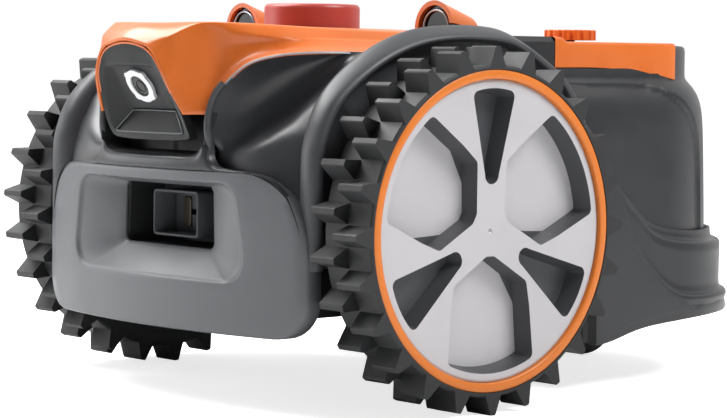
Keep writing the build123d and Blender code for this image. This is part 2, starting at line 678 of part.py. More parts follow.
def cover_form(inset=0.0):
    """Lofted form of the top cover from the hood's mouth to its rear edge."""
    with BuildPart() as form:
        with BuildSketch(hood_plane(-1 if inset else 0)):
            cover_section(MOUTH_FOOT, MOUTH_HEAD + 3, 44, MOUTH_HEAD - 9, MOUTH_RISE - 1, 0, inset)
        for reach, values in COVER_SECTIONS:
            with BuildSketch(front_plane(station(-reach) - (inset if reach == -DECK_REAR else 0))):
                foot, side, side_height, head, head_height, foot_height = values
                cover_section(foot, side, side_height, head, head_height, foot_height, inset)
        loft(ruled=True)
    return form.part


with BuildPart() as top_cover:
    add(cover_form())
    add(cover_form(WALL), mode=Mode.SUBTRACT)
    with BuildSketch(Plane.XY.offset(COVER_TOP - 10)):
        with Locations((0, station(STOP_STATION))):
            Circle(STOP_DIAMETER / 2 + KEY_GAP)
    extrude(amount=20, mode=Mode.SUBTRACT)
write_out(top_cover, "top_cover")

# ---------------------------------------------------------------- camera
VISOR_BACK = 118.0          # from the axle forward to the back of the visor
VISOR_LIP = 188.0           # height of the visor's lower lip
WINDOW_LEAN = 34.0          # the camera's back wall leans forward and looks down
WINDOW_FOOT = (136.0, 208.0)    # reach and height of the back wall's lower edge
WINDOW_LENGTH = 36.5
MODULE_SIZE = (30.0, 30.0, 14.0)


def leaning_plane(reach, height, lean, shift=0.0):
    """Plane that leans forward by an angle, through a place ahead of the axle."""
    angle = math.radians(lean)
    normal = (0, -math.cos(angle), -math.sin(angle))
    plane = Plane(origin=(0, station(-reach), height), x_dir=(1, 0, 0), z_dir=normal)
    return plane.offset(shift)


LENS_ALONG_WALL = (LENS_HEIGHT - WINDOW_FOOT[1]) / math.cos(math.radians(WINDOW_LEAN))
with BuildPart() as camera_visor:
    with BuildSketch(side_plane(-MOUTH_FOOT)):
        Polygon((station(-162), 250), (station(-147.5), SNOUT_BASE), (station(-140), VISOR_LIP),
                (station(-VISOR_BACK), VISOR_LIP), (station(-VISOR_BACK), 250), align=None)
    extrude(amount=2 * MOUTH_FOOT)
    with BuildSketch(front_plane(station(-170))):
        rim = HOOD_WALL + SEAM
        Polygon((-MOUTH_FOOT + rim + 3, VISOR_LIP), (MOUTH_FOOT - rim - 3, VISOR_LIP),
                (MOUTH_FOOT - rim, SNOUT_BASE + 2), (MOUTH_HEAD + 1 - rim, SNOUT_BASE + 40),
                (MOUTH_HEAD - 9 - rim, 250), (-MOUTH_HEAD + 9 + rim, 250),
                (-MOUTH_HEAD - 1 + rim, SNOUT_BASE + 40), (-MOUTH_FOOT + rim, SNOUT_BASE + 2), align=None)
    extrude(amount=-60, mode=Mode.INTERSECT)
    with BuildSketch(leaning_plane(141.6, 191, 22.0, shift=1)):
        Polygon((-41, 0), (41, 0), (31, 50), (-31, 50), align=None)
        fillet(vertices(), 4)
    with BuildSketch(leaning_plane(*WINDOW_FOOT, WINDOW_LEAN)):
        Polygon((-25.5, 0), (25.5, 0), (24, WINDOW_LENGTH), (-24, WINDOW_LENGTH), align=None)
        fillet(vertices(), 3)
    loft(mode=Mode.SUBTRACT)
    with BuildSketch(leaning_plane(*WINDOW_FOOT, WINDOW_LEAN, shift=-WALL)):
        Polygon((-21, 2), (21, 2), (19, WINDOW_LENGTH + 3), (-19, WINDOW_LENGTH + 3), align=None)
    extrude(amount=-40, mode=Mode.SUBTRACT)
    with BuildSketch(leaning_plane(*WINDOW_FOOT, WINDOW_LEAN)):
        with Locations((0, LENS_ALONG_WALL)):
            Circle(LENS_DIAMETER / 2 + SEAM)
    extrude(amount=-WALL - 2, mode=Mode.SUBTRACT)
write_out(camera_visor, "camera_visor")

with BuildPart() as lens_ring:
    with BuildSketch(leaning_plane(*WINDOW_FOOT, WINDOW_LEAN)):
        with Locations((0, LENS_ALONG_WALL)):
            Circle(LENS_RING_DIAMETER / 2 - 1.5)
            with PolarLocations(LENS_RING_DIAMETER / 2 - 3, 4, start_angle=45):
                Circle(3)
            Circle(LENS_DIAMETER / 2 + SEAM, mode=Mode.SUBTRACT)
    extrude(amount=2.5)
write_out(lens_ring, "lens_ring")

with BuildPart() as camera_lens:
    with BuildSketch(leaning_plane(*WINDOW_FOOT, WINDOW_LEAN, shift=-WALL)):
        with Locations((0, LENS_ALONG_WALL)):
            Circle(LENS_DIAMETER / 2)
    extrude(amount=WALL + 1.5)
    chamfer(camera_lens.edges().filter_by(GeomType.CIRCLE).sort_by(lambda e: e.center().Y)[0], length=1)
write_out(camera_lens, "camera_lens")

with BuildPart() as camera_module:
    with BuildSketch(leaning_plane(*WINDOW_FOOT, WINDOW_LEAN, shift=-WALL)):
        with Locations((0, LENS_ALONG_WALL)):
            RectangleRounded(MODULE_SIZE[0], MODULE_SIZE[1], 2)
    extrude(amount=-MODULE_SIZE[2])
write_out(camera_module, "camera_module")

# ---------------------------------------------------------------- stop button
STOP_BASE = COVER_TOP + 2.0
STOP_SKIRT = 10.0           # how far the button reaches below the cover
STOP_GUIDE_DIAMETER = 20.0
with BuildPart() as stop_button:
    with BuildSketch(Plane.XY.offset(STOP_BASE - STOP_SKIRT)):
        with Locations((0, station(STOP_STATION))):
            Circle(STOP_DIAMETER / 2)
    extrude(amount=STOP_TOP - STOP_BASE + STOP_SKIRT)
    fillet(stop_button.edges().filter_by(GeomType.CIRCLE).sort_by(Axis.Z)[-1], 3.5)
    with BuildSketch(Plane.XY.offset(STOP_BASE - STOP_SKIRT)):
        with Locations((0, station(STOP_STATION))):
            Circle(STOP_DIAMETER / 2 - WALL)
            Circle(STOP_GUIDE_DIAMETER / 2, mode=Mode.SUBTRACT)
    extrude(amount=STOP_TOP - STOP_BASE + STOP_SKIRT - WALL, mode=Mode.SUBTRACT)
write_out(stop_button, "stop_button")

with BuildPart() as stop_switch:
    with BuildSketch(Plane.XY.offset(DECK_HEIGHT)):
        with Locations((0, station(STOP_STATION))):
            RectangleRounded(34, 34, 4)
    extrude(amount=STOP_BASE - STOP_SKIRT - STOP_TRAVEL - SEAM - DECK_HEIGHT)
write_out(stop_switch, "stop_switch")

# ---------------------------------------------------------------- lamp pods
POD_WALL = 3.5


def build_pod(side):
    lens_depth = 10.0
    with BuildPart() as pod:
        with BuildSketch(front_plane(station(POD_FRONT))):
            with Locations((side * POD_SPREAD, POD_HEIGHT)):
                Circle(POD_DIAMETER / 2)
        with BuildSketch(front_plane(station(POD_FRONT + POD_LENGTH))):
            with Locations((side * POD_SPREAD, POD_HEIGHT - 5)):
                Circle(POD_DIAMETER / 2 - 6)
        loft()
        with BuildSketch(front_plane(station(POD_FRONT))):
            with Locations((side * POD_SPREAD, POD_HEIGHT)):
                Circle(POD_DIAMETER / 2 - POD_WALL)
        extrude(amount=-lens_depth, mode=Mode.SUBTRACT)
        with BuildSketch(Plane.XY.offset(COVER_TOP + SEAM)):
            with Locations((side * POD_SPREAD, station(POD_FRONT + POD_LENGTH / 2))):
                Rectangle(2 * POD_DIAMETER, 2 * POD_LENGTH)
        extrude(amount=-POD_DIAMETER, mode=Mode.SUBTRACT)
        add(arch_cut(side), mode=Mode.SUBTRACT)
    return pod


with BuildPart() as lamp_lenses:
    for side in SIDES.values():
        with BuildSketch(front_plane(station(POD_FRONT + 9.5))):
            with Locations((side * POD_SPREAD, POD_HEIGHT)):
                Circle(POD_DIAMETER / 2 - POD_WALL - SEAM)
        extrude(amount=6)
    with BuildSketch(Plane.XY.offset(DECK_HEIGHT)):
        with Locations((0, station(POD_FRONT))):
            Rectangle(WIDTH, 2 * POD_LENGTH)
    extrude(amount=COVER_TOP + SEAM - DECK_HEIGHT, mode=Mode.SUBTRACT)
    for side in SIDES.values():
        add(arch_cut(side), mode=Mode.SUBTRACT)
write_out(lamp_lenses, "lamp_lenses")
for name, side in SIDES.items():
    write_out(build_pod(side), f"{name}_lamp_pod")

# ---------------------------------------------------------------- bridge and control panel
BRIDGE_BASE = 241.0
PANEL_STATION = 96.0
PANEL_THICKNESS = 3.0
KEY_SPACING = 15.0
KEY_STEM_DIAMETER = 6.0
BOARD_THICKNESS = 1.6
BOARD_TOP = 246.5           # upper face of the small board under the keys
BOARD_SIZE = (104.0, 30.0)
BOARD_SWITCH = (6.0, 3.4)   # side and height of a key switch
BOSS_DIAMETER = 8.0
KEY_NAMES = ("start_key", "home_key", "ok_key", "back_key")


def key_place(index):
    """X and Y of a key: two each side of the display."""
    x = DISPLAY_SIZE[0] / 2 + 9 + KEY_SPACING * (index // 2)
    return (x if index % 2 else -x, station(PANEL_STATION))


def board_corners():
    """Places of the four posts that carry the small board."""
    x, y = BOARD_SIZE[0] / 2 - BOSS_DIAMETER / 2, BOARD_SIZE[1] / 2 - BOSS_DIAMETER / 2
    return [(sx * x, station(PANEL_STATION) + sy * y) for sx in (-1, 1) for sy in (-1, 1)]


with BuildPart() as bridge:
    with BuildSketch(Plane.XY.offset(BRIDGE_BASE)):
        with Locations((0, station((DECK_REAR + BRIDGE_REAR) / 2))):
            Rectangle(2 * BRIDGE_HALF_WIDTH, BRIDGE_REAR - DECK_REAR - 2 * SEAM)
    extrude(amount=BRIDGE_TOP - BRIDGE_BASE)
    chamfer(bridge.edges().filter_by(Axis.Y).group_by(Axis.Z)[-1], length=4)
    with BuildSketch(Plane.XY.offset(BRIDGE_BASE)):
        with Locations((0, station((DECK_REAR + BRIDGE_REAR) / 2))):
            Rectangle(2 * BRIDGE_HALF_WIDTH - 2 * WALL, BRIDGE_REAR - DECK_REAR - 2 * WALL)
    extrude(amount=BRIDGE_TOP - BRIDGE_BASE - 2 * WALL, mode=Mode.SUBTRACT)
    with BuildSketch(Plane.XY.offset(BRIDGE_TOP)):
        with Locations((0, station(PANEL_STATION))):
            RectangleRounded(PANEL_SIZE[0] + 2 * SEAM, PANEL_SIZE[1] + 2 * SEAM, 6 + SEAM)
    extrude(amount=-PANEL_THICKNESS, mode=Mode.SUBTRACT)
    with BuildSketch(Plane.XY.offset(BRIDGE_TOP)):
        with Locations(*[key_place(index) for index in range(len(KEY_NAMES))]):
            Circle(KEY_STEM_DIAMETER / 2 + FIT)
    extrude(amount=-4 * WALL, mode=Mode.SUBTRACT)
    with BuildSketch(Plane.XY.offset(BOARD_TOP)):
        with Locations(*board_corners()):
            Circle(BOSS_DIAMETER / 2)
    extrude(amount=BRIDGE_TOP - WALL - PANEL_THICKNESS - BOARD_TOP)
    for side in SIDES.values():
        add(arch_cut(side), mode=Mode.SUBTRACT)
write_out(bridge, "bridge")

with BuildPart() as control_panel:
    with BuildSketch(Plane.XY.offset(BRIDGE_TOP - PANEL_THICKNESS)):
        with Locations((0, station(PANEL_STATION))):
            RectangleRounded(PANEL_SIZE[0], PANEL_SIZE[1], 6)
    extrude(amount=PANEL_THICKNESS)
    with BuildSketch(Plane.XY.offset(BRIDGE_TOP)):
        with Locations((0, station(PANEL_STATION))):
            RectangleRounded(DISPLAY_SIZE[0] + SEAM, DISPLAY_SIZE[1] + SEAM, 2)
    extrude(amount=-1.5, mode=Mode.SUBTRACT)
    with BuildSketch(Plane.XY.offset(BRIDGE_TOP)):
        with Locations(*[key_place(index) for index in range(len(KEY_NAMES))]):
            Circle(KEY_DIAMETER / 2 + KEY_GAP)
    extrude(amount=-PANEL_THICKNESS, mode=Mode.SUBTRACT)
write_out(control_panel, "control_panel")

with BuildPart() as display_window:
    with BuildSketch(Plane.XY.offset(BRIDGE_TOP - 1.5)):
        with Locations((0, station(PANEL_STATION))):
            RectangleRounded(DISPLAY_SIZE[0], DISPLAY_SIZE[1], 2)
    extrude(amount=1.5)
write_out(display_window, "display_window")

KEY_FOOT = BOARD_TOP + BOARD_SWITCH[1] + KEY_TRAVEL + SEAM
for index, name in enumerate(KEY_NAMES):
    with BuildPart() as key:
        with BuildSketch(Plane.XY.offset(BRIDGE_TOP - PANEL_THICKNESS + KEY_TRAVEL + SEAM)):
            with Locations(key_place(index)):
                Circle(KEY_DIAMETER / 2)
        extrude(amount=PANEL_THICKNESS - KEY_TRAVEL - SEAM + KEY_RISE)
        fillet(key.edges().group_by(Axis.Z)[-1], 0.8)
        with BuildSketch(Plane.XY.offset(KEY_FOOT)):
            with Locations(key_place(index)):
                Circle(KEY_STEM_DIAMETER / 2)
        extrude(amount=BRIDGE_TOP - KEY_FOOT)
    write_out(key, name)

with BuildPart() as control_board:
    with BuildSketch(Plane.XY.offset(BOARD_TOP - BOARD_THICKNESS)):
        with Locations((0, station(PANEL_STATION))):
            RectangleRounded(BOARD_SIZE[0], BOARD_SIZE[1], 3)
    extrude(amount=BOARD_THICKNESS)
    with BuildSketch(Plane.XY.offset(BOARD_TOP)):
        with Locations(*[key_place(index) for index in range(len(KEY_NAMES))]):
            Rectangle(BOARD_SWITCH[0], BOARD_SWITCH[0])
    extrude(amount=BOARD_SWITCH[1])
    with BuildSketch(Plane.XY.offset(BOARD_TOP)):
        with Locations((0, station(PANEL_STATION))):
            Rectangle(DISPLAY_SIZE[0], DISPLAY_SIZE[1])
    extrude(amount=BOARD_SWITCH[1])
write_out(control_board, "control_board")

# ---------------------------------------------------------------- rear shell, skirt and rear cover
ARCH_RADIUS = WHEEL_DIAMETER / 2 + 10
REAR_FRONT = DECK_REAR + SEAM   # the rear shell begins here, between the fenders
COVER_SLOPE = 9.0           # the shoulder falls this much from the bridge to the tail


def rear_plan(inset, reach=REAR_REACH):
    """Plan of the rear body, straight sides and large rear corners, moved in by the inset."""
    half = REAR_HALF_WIDTH - inset
    end = station(reach) - (inset if reach == REAR_REACH else 0)
    with BuildSketch() as plan:
        with Locations((0, (station(REAR_FRONT) + end) / 2)):
            Rectangle(2 * half, end - station(REAR_FRONT))
        fillet(plan.vertices().group_by(Axis.Y)[-1], REAR_CORNER - inset)
    return plan.sketch


def rear_cover_plan(grow=0.0):
    """Plan of the orange rear cover: straight sides and a bowed rear edge."""
    half = BRIDGE_HALF_WIDTH + grow
    side_end = station(REAR_COVER_SIDE_END)
    with BuildSketch() as plan:
        with BuildLine():
            bow = ThreePointArc((half, side_end), (0, station(REAR_COVER_END) + grow), (-half, side_end))
            front = station(BRIDGE_REAR) - grow
            Polyline(bow @ 1, (-half, front), (half, front), bow @ 0)
        make_face()
    return plan.sketch


def shoulder_height(distance):
    """Height of the rear shell's shoulder at a distance behind the axle."""
    run = (distance - BRIDGE_REAR) / (REAR_COVER_SIDE_END - BRIDGE_REAR)
    return BRIDGE_BASE - COVER_SLOPE * max(0.0, run)


with BuildPart() as rear_cavity:
    with BuildSketch(Plane.XY.offset(SHELL_BOTTOM - 1)):
        add(rear_plan(SHELL_INSET + WALL, SHELL_REACH - WALL))
    extrude(amount=SHELL_TOP - SHELL_BOTTOM - 2 * WALL, taper=SHELL_DRAFT)

with BuildPart() as rear_shell:
    with BuildSketch(Plane.XY.offset(SHELL_BOTTOM)):
        add(rear_plan(SHELL_INSET, SHELL_REACH))
    extrude(amount=SHELL_TOP - SHELL_BOTTOM, taper=SHELL_DRAFT)
    fillet(rear_shell.edges().group_by(Axis.Z)[-1], SHELL_SHOULDER)
    with BuildSketch(Plane.XY.offset(SHELL_BOTTOM)):
        add(rear_plan(REAR_HALF_WIDTH - BRIDGE_HALF_WIDTH, TAIL_REACH + TAIL_SHOULDER))
    extrude(amount=TAIL_TOP - SHELL_BOTTOM)
    fillet(rear_shell.edges().group_by(Axis.Z)[-1], TAIL_SHOULDER)
    with BuildSketch(side_plane(-WIDTH / 2)):
        Polygon((station(REAR_FRONT) - 1, BRIDGE_BASE - SEAM),
                (station(BRIDGE_REAR), BRIDGE_BASE - SEAM),
                (station(REAR_COVER_SIDE_END), BRIDGE_BASE - COVER_SLOPE - SEAM),
                (station(REAR_COVER_SIDE_END), TAIL_TOP + 5),
                (station(REAR_FRONT) - 1, TAIL_TOP + 5), align=None)
    extrude(amount=WIDTH, mode=Mode.SUBTRACT)
    with BuildSketch(Plane.XY.offset(BRIDGE_BASE - COVER_SLOPE - SEAM)):
        add(rear_cover_plan(SEAM))
    extrude(amount=TAIL_TOP, mode=Mode.SUBTRACT)
    add(rear_cavity.part, mode=Mode.SUBTRACT)
    for side in SIDES.values():
        add(arch_cut(side), mode=Mode.SUBTRACT)
    with BuildSketch(Plane.XY.offset(SHELL_TOP - 4 * WALL)):
        with Locations((0, station(KNOB_STATION))):
            Circle(STEM_DIAMETER / 2 + KEY_GAP)
    extrude(amount=6 * WALL, mode=Mode.SUBTRACT)
write_out(rear_shell, "rear_shell")

with BuildPart() as rear_cover:
    with BuildSketch(Plane.XY.offset(BRIDGE_BASE - COVER_SLOPE)):
        add(rear_cover_plan())
    extrude(amount=REAR_COVER_TOP - BRIDGE_BASE + COVER_SLOPE)
    fillet(rear_cover.faces().sort_by(Axis.Z)[-1].edges(), 2.5)
    with BuildSketch(side_plane(-WIDTH / 2)):
        Polygon((station(BRIDGE_REAR) - 1, BRIDGE_BASE - COVER_SLOPE - 1),
                (station(REAR_COVER_SIDE_END), BRIDGE_BASE - COVER_SLOPE - 1),
                (station(REAR_COVER_SIDE_END), BRIDGE_BASE - COVER_SLOPE),
                (station(BRIDGE_REAR) - 1, BRIDGE_BASE), align=None)
    extrude(amount=WIDTH, mode=Mode.SUBTRACT)
    with BuildSketch(Plane.XY.offset(BRIDGE_BASE - COVER_SLOPE)):
        add(rear_cover_plan(-WALL))
    extrude(amount=REAR_COVER_TOP - BRIDGE_BASE + COVER_SLOPE - WALL, mode=Mode.SUBTRACT)
    with BuildSketch(Plane.XY.offset(REAR_COVER_TOP)):
        with Locations((0, station(KNOB_STATION))):
            Circle(KNOB_PAD_DIAMETER / 2)
    extrude(amount=-2 * WALL)
    with BuildSketch(Plane.XY.offset(REAR_COVER_TOP)):
        with Locations((0, station(KNOB_STATION))):
            Circle(STEM_DIAMETER / 2 + FIT)
    extrude(amount=-3 * WALL, mode=Mode.SUBTRACT)
write_out(rear_cover, "rear_cover")


def skirt_layer(inset, bottom, points):
    """One layer of the skirt under a line that rises forward, given as (distance, height)."""
    with BuildPart() as layer:
        with BuildSketch(Plane.XY.offset(bottom)):
            add(rear_plan(inset))
        extrude(amount=SHELL_TOP - bottom)
        with BuildSketch(side_plane(-WIDTH / 2)):
            with BuildLine():
                rise = Spline(*[(station(y), z) for y, z in points])
                Polyline(rise @ 1, (station(REAR_REACH) + 1, points[-1][1]),
                         (station(REAR_REACH) + 1, bottom - 15), (station(REAR_FRONT), bottom - 15),
                         (station(REAR_FRONT), points[0][1]), rise @ 0)
            make_face()
        extrude(amount=WIDTH, mode=Mode.INTERSECT)
    return layer.part


SKIRT_FRONT = 140.0         # the skirt starts this far behind the axle
LOW_RISE = ((157, 122), (163, 98), (178, 78), (205, SKIRT_LEDGE))
MIDDLE_RISE = ((157, 140), (166, 124), (186, 111), (214, SHELL_BOTTOM))
with BuildPart() as rear_skirt:
    add(skirt_layer(0, SKIRT_BOTTOM, LOW_RISE))
    add(skirt_layer(REAR_STEP, SKIRT_BOTTOM, MIDDLE_RISE))
    hollows = (
        (WALL, SKIRT_BOTTOM - 1, SKIRT_LEDGE - WALL),
        (REAR_STEP + WALL, SKIRT_BOTTOM - 1, SHELL_BOTTOM - WALL),
        (SHELL_INSET - SEAM, SHELL_BOTTOM - SEAM, SHELL_TOP),
        (SHELL_INSET + WALL, SHELL_BOTTOM - 2 * WALL, SHELL_TOP),
    )
    for inset, low, high in hollows:
        with BuildSketch(Plane.XY.offset(low)):
            add(rear_plan(inset))
            with Locations((0, station(REAR_FRONT))):
                Rectangle(2 * (REAR_HALF_WIDTH - inset), 40)
        extrude(amount=high - low, mode=Mode.SUBTRACT)
    for side in SIDES.values():
        add(arch_cut(side), mode=Mode.SUBTRACT)
        with BuildSketch(axle_plane(side * (FENDER_INNER - SEAM))):
            Circle(ARCH_RADIUS)
        extrude(amount=side * 60, mode=Mode.SUBTRACT)
    with BuildSketch(Plane.XY):
        with Locations((0, station(0))):
            Rectangle(WIDTH, 2 * SKIRT_FRONT)
    extrude(amount=SHELL_TOP, mode=Mode.SUBTRACT)
write_out(rear_skirt, "rear_skirt")

# ---------------------------------------------------------------- height knob
KNOB_SCALLOP_RADIUS = 3.0

with BuildPart() as height_knob:
    with BuildSketch(Plane.XY.offset(KNOB_TOP - KNOB_HEIGHT)):
        with Locations((0, station(KNOB_STATION))):
            Circle(KNOB_DIAMETER / 2)
            with PolarLocations(KNOB_DIAMETER / 2 + 1.2, KNOB_SCALLOPS):
                Circle(KNOB_SCALLOP_RADIUS, mode=Mode.SUBTRACT)
    extrude(amount=KNOB_HEIGHT)
    chamfer(height_knob.faces().sort_by(Axis.Z)[-1].edges(), length=0.6)
    with BuildSketch(Plane.XY.offset(KNOB_TOP)):
        with Locations((0, station(KNOB_STATION))):
            Circle(KNOB_DIAMETER / 2 - 7)
    extrude(amount=-1.2, mode=Mode.SUBTRACT)
    with BuildSketch(Plane.XY.offset(KNOB_TOP - 1.2)):
        with Locations((0, station(KNOB_STATION) - 6)):
            SlotOverall(9, 2.5, rotation=90)
    extrude(amount=1.0)
    with BuildSketch(Plane.XY.offset(KNOB_TOP - KNOB_HEIGHT)):
        with Locations((0, station(KNOB_STATION))):
            Circle(STEM_DIAMETER / 2)
    extrude(amount=5, mode=Mode.SUBTRACT)
write_out(height_knob, "height_knob")

STEM_BOTTOM = 88.0
STEM_COLLAR = (16.0, 4.0)   # the stem's collar hangs under the rear cover

with BuildPart() as knob_stem:
    with BuildSketch(Plane.XY.offset(STEM_BOTTOM)):
        with Locations((0, station(KNOB_STATION))):
            Circle(STEM_DIAMETER / 2)
    extrude(amount=KNOB_TOP - KNOB_HEIGHT + 5 - STEM_BOTTOM)
    chamfer(knob_stem.edges().group_by(Axis.Z)[0], length=1)
    with BuildSketch(Plane.XY.offset(REAR_COVER_TOP - 2 * WALL - SEAM)):
        with Locations((0, station(KNOB_STATION))):
            Circle(STEM_COLLAR[0] / 2)
    extrude(amount=-STEM_COLLAR[1])
write_out(knob_stem, "knob_stem")

# ---------------------------------------------------------------- chassis tray
FLOOR_TOP = FLOOR_BOTTOM + FLOOR_THICKNESS
FLANGE_TOP = SHELL_BOTTOM - WALL
SIDE_PLATE = (60.0, AXLE_Z + 27.0)  # raised plate round the axle: length and top
SIDE_PLATE_X = TRAY_HALF_WIDTH - FLOOR_THICKNESS
BATTERY_SPACE = 11.2        # free room between the battery's well and each gear motor
BATTERY_STATION = -35.0
BATTERY_GAP = 1.5
BATTERY_HALF_WIDTH = MOTOR_FACE_X - MOTOR_LENGTH - BATTERY_SPACE - WALL - BATTERY_GAP
BATTERY_SIZE = (2 * BATTERY_HALF_WIDTH, 86.0, 58.0)
HATCH_MARGIN = 9.0
HATCH_THICKNESS = 3.0
COLLAR_TOP = 84.0           # guide collar of the cutting unit
CASTER_BORE_TOP = 81.0
CASTER_BOSS = (24.0, 84.0)  # diameter and top
SADDLE_X = (MOTOR_FACE_X - MOTOR_LENGTH + 10.3, MOTOR_FACE_X - 17.7)
SADDLE_HALF = 22.0
BOARD_POST_TOP = 148.0
MAIN_BOARD = (132.0, 84.0)
MAIN_BOARD_STATION = 233.0
SCREW_DIAMETER = 4.0
SCREW_HEAD = (8.0, 2.4)
SCREW_LENGTH = 14.0
DECK_SCREW_X = TRAY_HALF_WIDTH - 20.0
DECK_SCREWS = ((-90.0, DECK_SCREW_X), (58.0, DECK_SCREW_X), (240.0, DECK_SCREW_X - 4.0))
HATCH_SCREW = (BATTERY_SIZE[0] / 2 + 5.5, BATTERY_SIZE[1] / 2 - 8)


def tray_plan(inset=0.0):
    """Plan of the tray: straight sides with the rear corners of the skirt."""
    front = station(-TRAY_FRONT) + inset
    rear = station(REAR_FRONT) + 20
    with BuildSketch() as plan:
        with Locations((0, (front + rear) / 2)):
            Rectangle(2 * (TRAY_HALF_WIDTH - inset), rear - front)
        add(rear_plan(REAR_HALF_WIDTH - TRAY_HALF_WIDTH + inset))
    return plan.sketch


def battery_plan(grow):
    with BuildSketch() as plan:
        with Locations((0, station(BATTERY_STATION))):
            RectangleRounded(BATTERY_SIZE[0] + 2 * grow, BATTERY_SIZE[1] + 2 * grow, 5 + grow)
    return plan.sketch


def mirrored(pairs):
    """Left and right places of pairs given as (station, half spacing)."""
    return [(side * half, station(distance)) for distance, half in pairs for side in (-1, 1)]


BOARD_POSTS = tuple((MAIN_BOARD_STATION + step * (MAIN_BOARD[1] / 2 - 6), MAIN_BOARD[0] / 2 - 6)
                    for step in (-1, 1))

with BuildPart() as chassis_tray:
    with BuildSketch(Plane.XY.offset(FLOOR_BOTTOM)):
        add(tray_plan())
    extrude(amount=TRAY_WALL_TOP - FLOOR_BOTTOM)
    with BuildSketch(Plane.XY.offset(FLOOR_TOP)):
        add(tray_plan(WALL))
    extrude(amount=TRAY_WALL_TOP, mode=Mode.SUBTRACT)
    with BuildSketch(Plane.XY.offset(TRAY_WALL_TOP)):
        add(rear_plan(REAR_STEP + WALL + SEAM))
        add(rear_plan(REAR_HALF_WIDTH - TRAY_HALF_WIDTH + WALL), mode=Mode.SUBTRACT)
        with Locations((0, station(REAR_FRONT))):
            Rectangle(WIDTH, 2 * (FENDER_REAR + WALL - REAR_FRONT), mode=Mode.SUBTRACT)
    extrude(amount=FLANGE_TOP - TRAY_WALL_TOP)
    for side in SIDES.values():
        with BuildSketch(side_plane(side * SIDE_PLATE_X)):
            with Locations((station(0), (FLOOR_BOTTOM + SIDE_PLATE[1]) / 2)):
                Rectangle(SIDE_PLATE[0], SIDE_PLATE[1] - FLOOR_BOTTOM)
        extrude(amount=side * (TRAY_HALF_WIDTH - SIDE_PLATE_X))
        for reach in SADDLE_X:
            with BuildSketch(side_plane(side * reach)):
                with Locations((station(0), (FLOOR_TOP + AXLE_Z) / 2)):
                    Rectangle(2 * SADDLE_HALF, AXLE_Z - FLOOR_TOP)
            extrude(amount=side * FORK_WALL)
        with BuildSketch(axle_plane(side * SADDLE_X[0])):
            Circle(MOTOR_DIAMETER / 2)
        extrude(amount=side * (SIDE_PLATE_X - SADDLE_X[0]), mode=Mode.SUBTRACT)
        with BuildSketch(axle_plane(side * (SIDE_PLATE_X - 1))):
            Circle(BEARING_OUTER / 2)
        extrude(amount=side * 2 * WALL, mode=Mode.SUBTRACT)
    with BuildSketch(Plane.XY.offset(FLOOR_TOP)):
        add(battery_plan(BATTERY_GAP + WALL))
        add(battery_plan(BATTERY_GAP), mode=Mode.SUBTRACT)
    extrude(amount=TRAY_WALL_TOP - FLOOR_TOP)
    with BuildSketch(Plane.XY.offset(FLOOR_BOTTOM - 1)):
        add(battery_plan(BATTERY_GAP))
    extrude(amount=FLOOR_THICKNESS + 2, mode=Mode.SUBTRACT)
    with BuildSketch(Plane.XY.offset(FLOOR_BOTTOM)):
        with Locations((0, station(DISC_STATION))):
            Circle(CARRIER_DIAMETER / 2 + FIT + WALL)
    extrude(amount=COLLAR_TOP - FLOOR_BOTTOM)
    with BuildSketch(Plane.XY.offset(FLOOR_BOTTOM - 1)):
        with Locations((0, station(DISC_STATION))):
            Circle(CARRIER_DIAMETER / 2 + FIT)
    extrude(amount=COLLAR_TOP, mode=Mode.SUBTRACT)
    with BuildSketch(Plane.XY.offset(FLOOR_BOTTOM)):
        with Locations((0, station(CASTER_STATION))):
            Circle(CASTER_BOSS[0] / 2)
    extrude(amount=CASTER_BOSS[1] - FLOOR_BOTTOM)
    with BuildSketch(Plane.XY.offset(FLOOR_BOTTOM - 1)):
        with Locations((0, station(CASTER_STATION))):
            Circle(CASTER_STEM / 2 + FIT)
    extrude(amount=CASTER_BORE_TOP - FLOOR_BOTTOM + 1, mode=Mode.SUBTRACT)
    with BuildSketch(Plane.XY.offset(FLOOR_TOP)):
        with Locations(*mirrored(DECK_SCREWS)):
            Circle(BOSS_DIAMETER / 2 + 1)
    extrude(amount=SCREW_LENGTH)
    with BuildSketch(Plane.XY.offset(FLOOR_TOP)):
        with Locations(*mirrored(BOARD_POSTS)):
            Circle(BOSS_DIAMETER / 2)
    extrude(amount=BOARD_POST_TOP - FLOOR_TOP)
    with BuildSketch(Plane.XY.offset(FLOOR_BOTTOM - 1)):
        with Locations(*mirrored(DECK_SCREWS)):
            Circle(SCREW_DIAMETER / 2 + FIT)
        with Locations(*mirrored(((BATTERY_STATION - HATCH_SCREW[1], HATCH_SCREW[0]),
                                  (BATTERY_STATION + HATCH_SCREW[1], HATCH_SCREW[0])))):
            Circle(SCREW_DIAMETER / 2 + FIT)
    extrude(amount=SCREW_LENGTH, mode=Mode.SUBTRACT)
write_out(chassis_tray, "chassis_tray")

with BuildPart() as deck_screws:
    with BuildSketch(Plane.XY.offset(FLOOR_BOTTOM)):
        with Locations(*mirrored(DECK_SCREWS)):
            Circle(SCREW_HEAD[0] / 2)
    extrude(amount=-SCREW_HEAD[1])
    fillet(deck_screws.edges().group_by(Axis.Z)[0], 0.8)
    with BuildSketch(Plane.XY.offset(FLOOR_BOTTOM)):
        with Locations(*mirrored(DECK_SCREWS)):
            Circle(SCREW_DIAMETER / 2)
    extrude(amount=SCREW_LENGTH - 2)
    with BuildSketch(Plane.XY.offset(FLOOR_BOTTOM - SCREW_HEAD[1])):
        with Locations(*mirrored(DECK_SCREWS)):
            Circle(SCREW_HEAD[0] / 5)
    extrude(amount=1.2, mode=Mode.SUBTRACT)
write_out(deck_screws, "deck_screws")

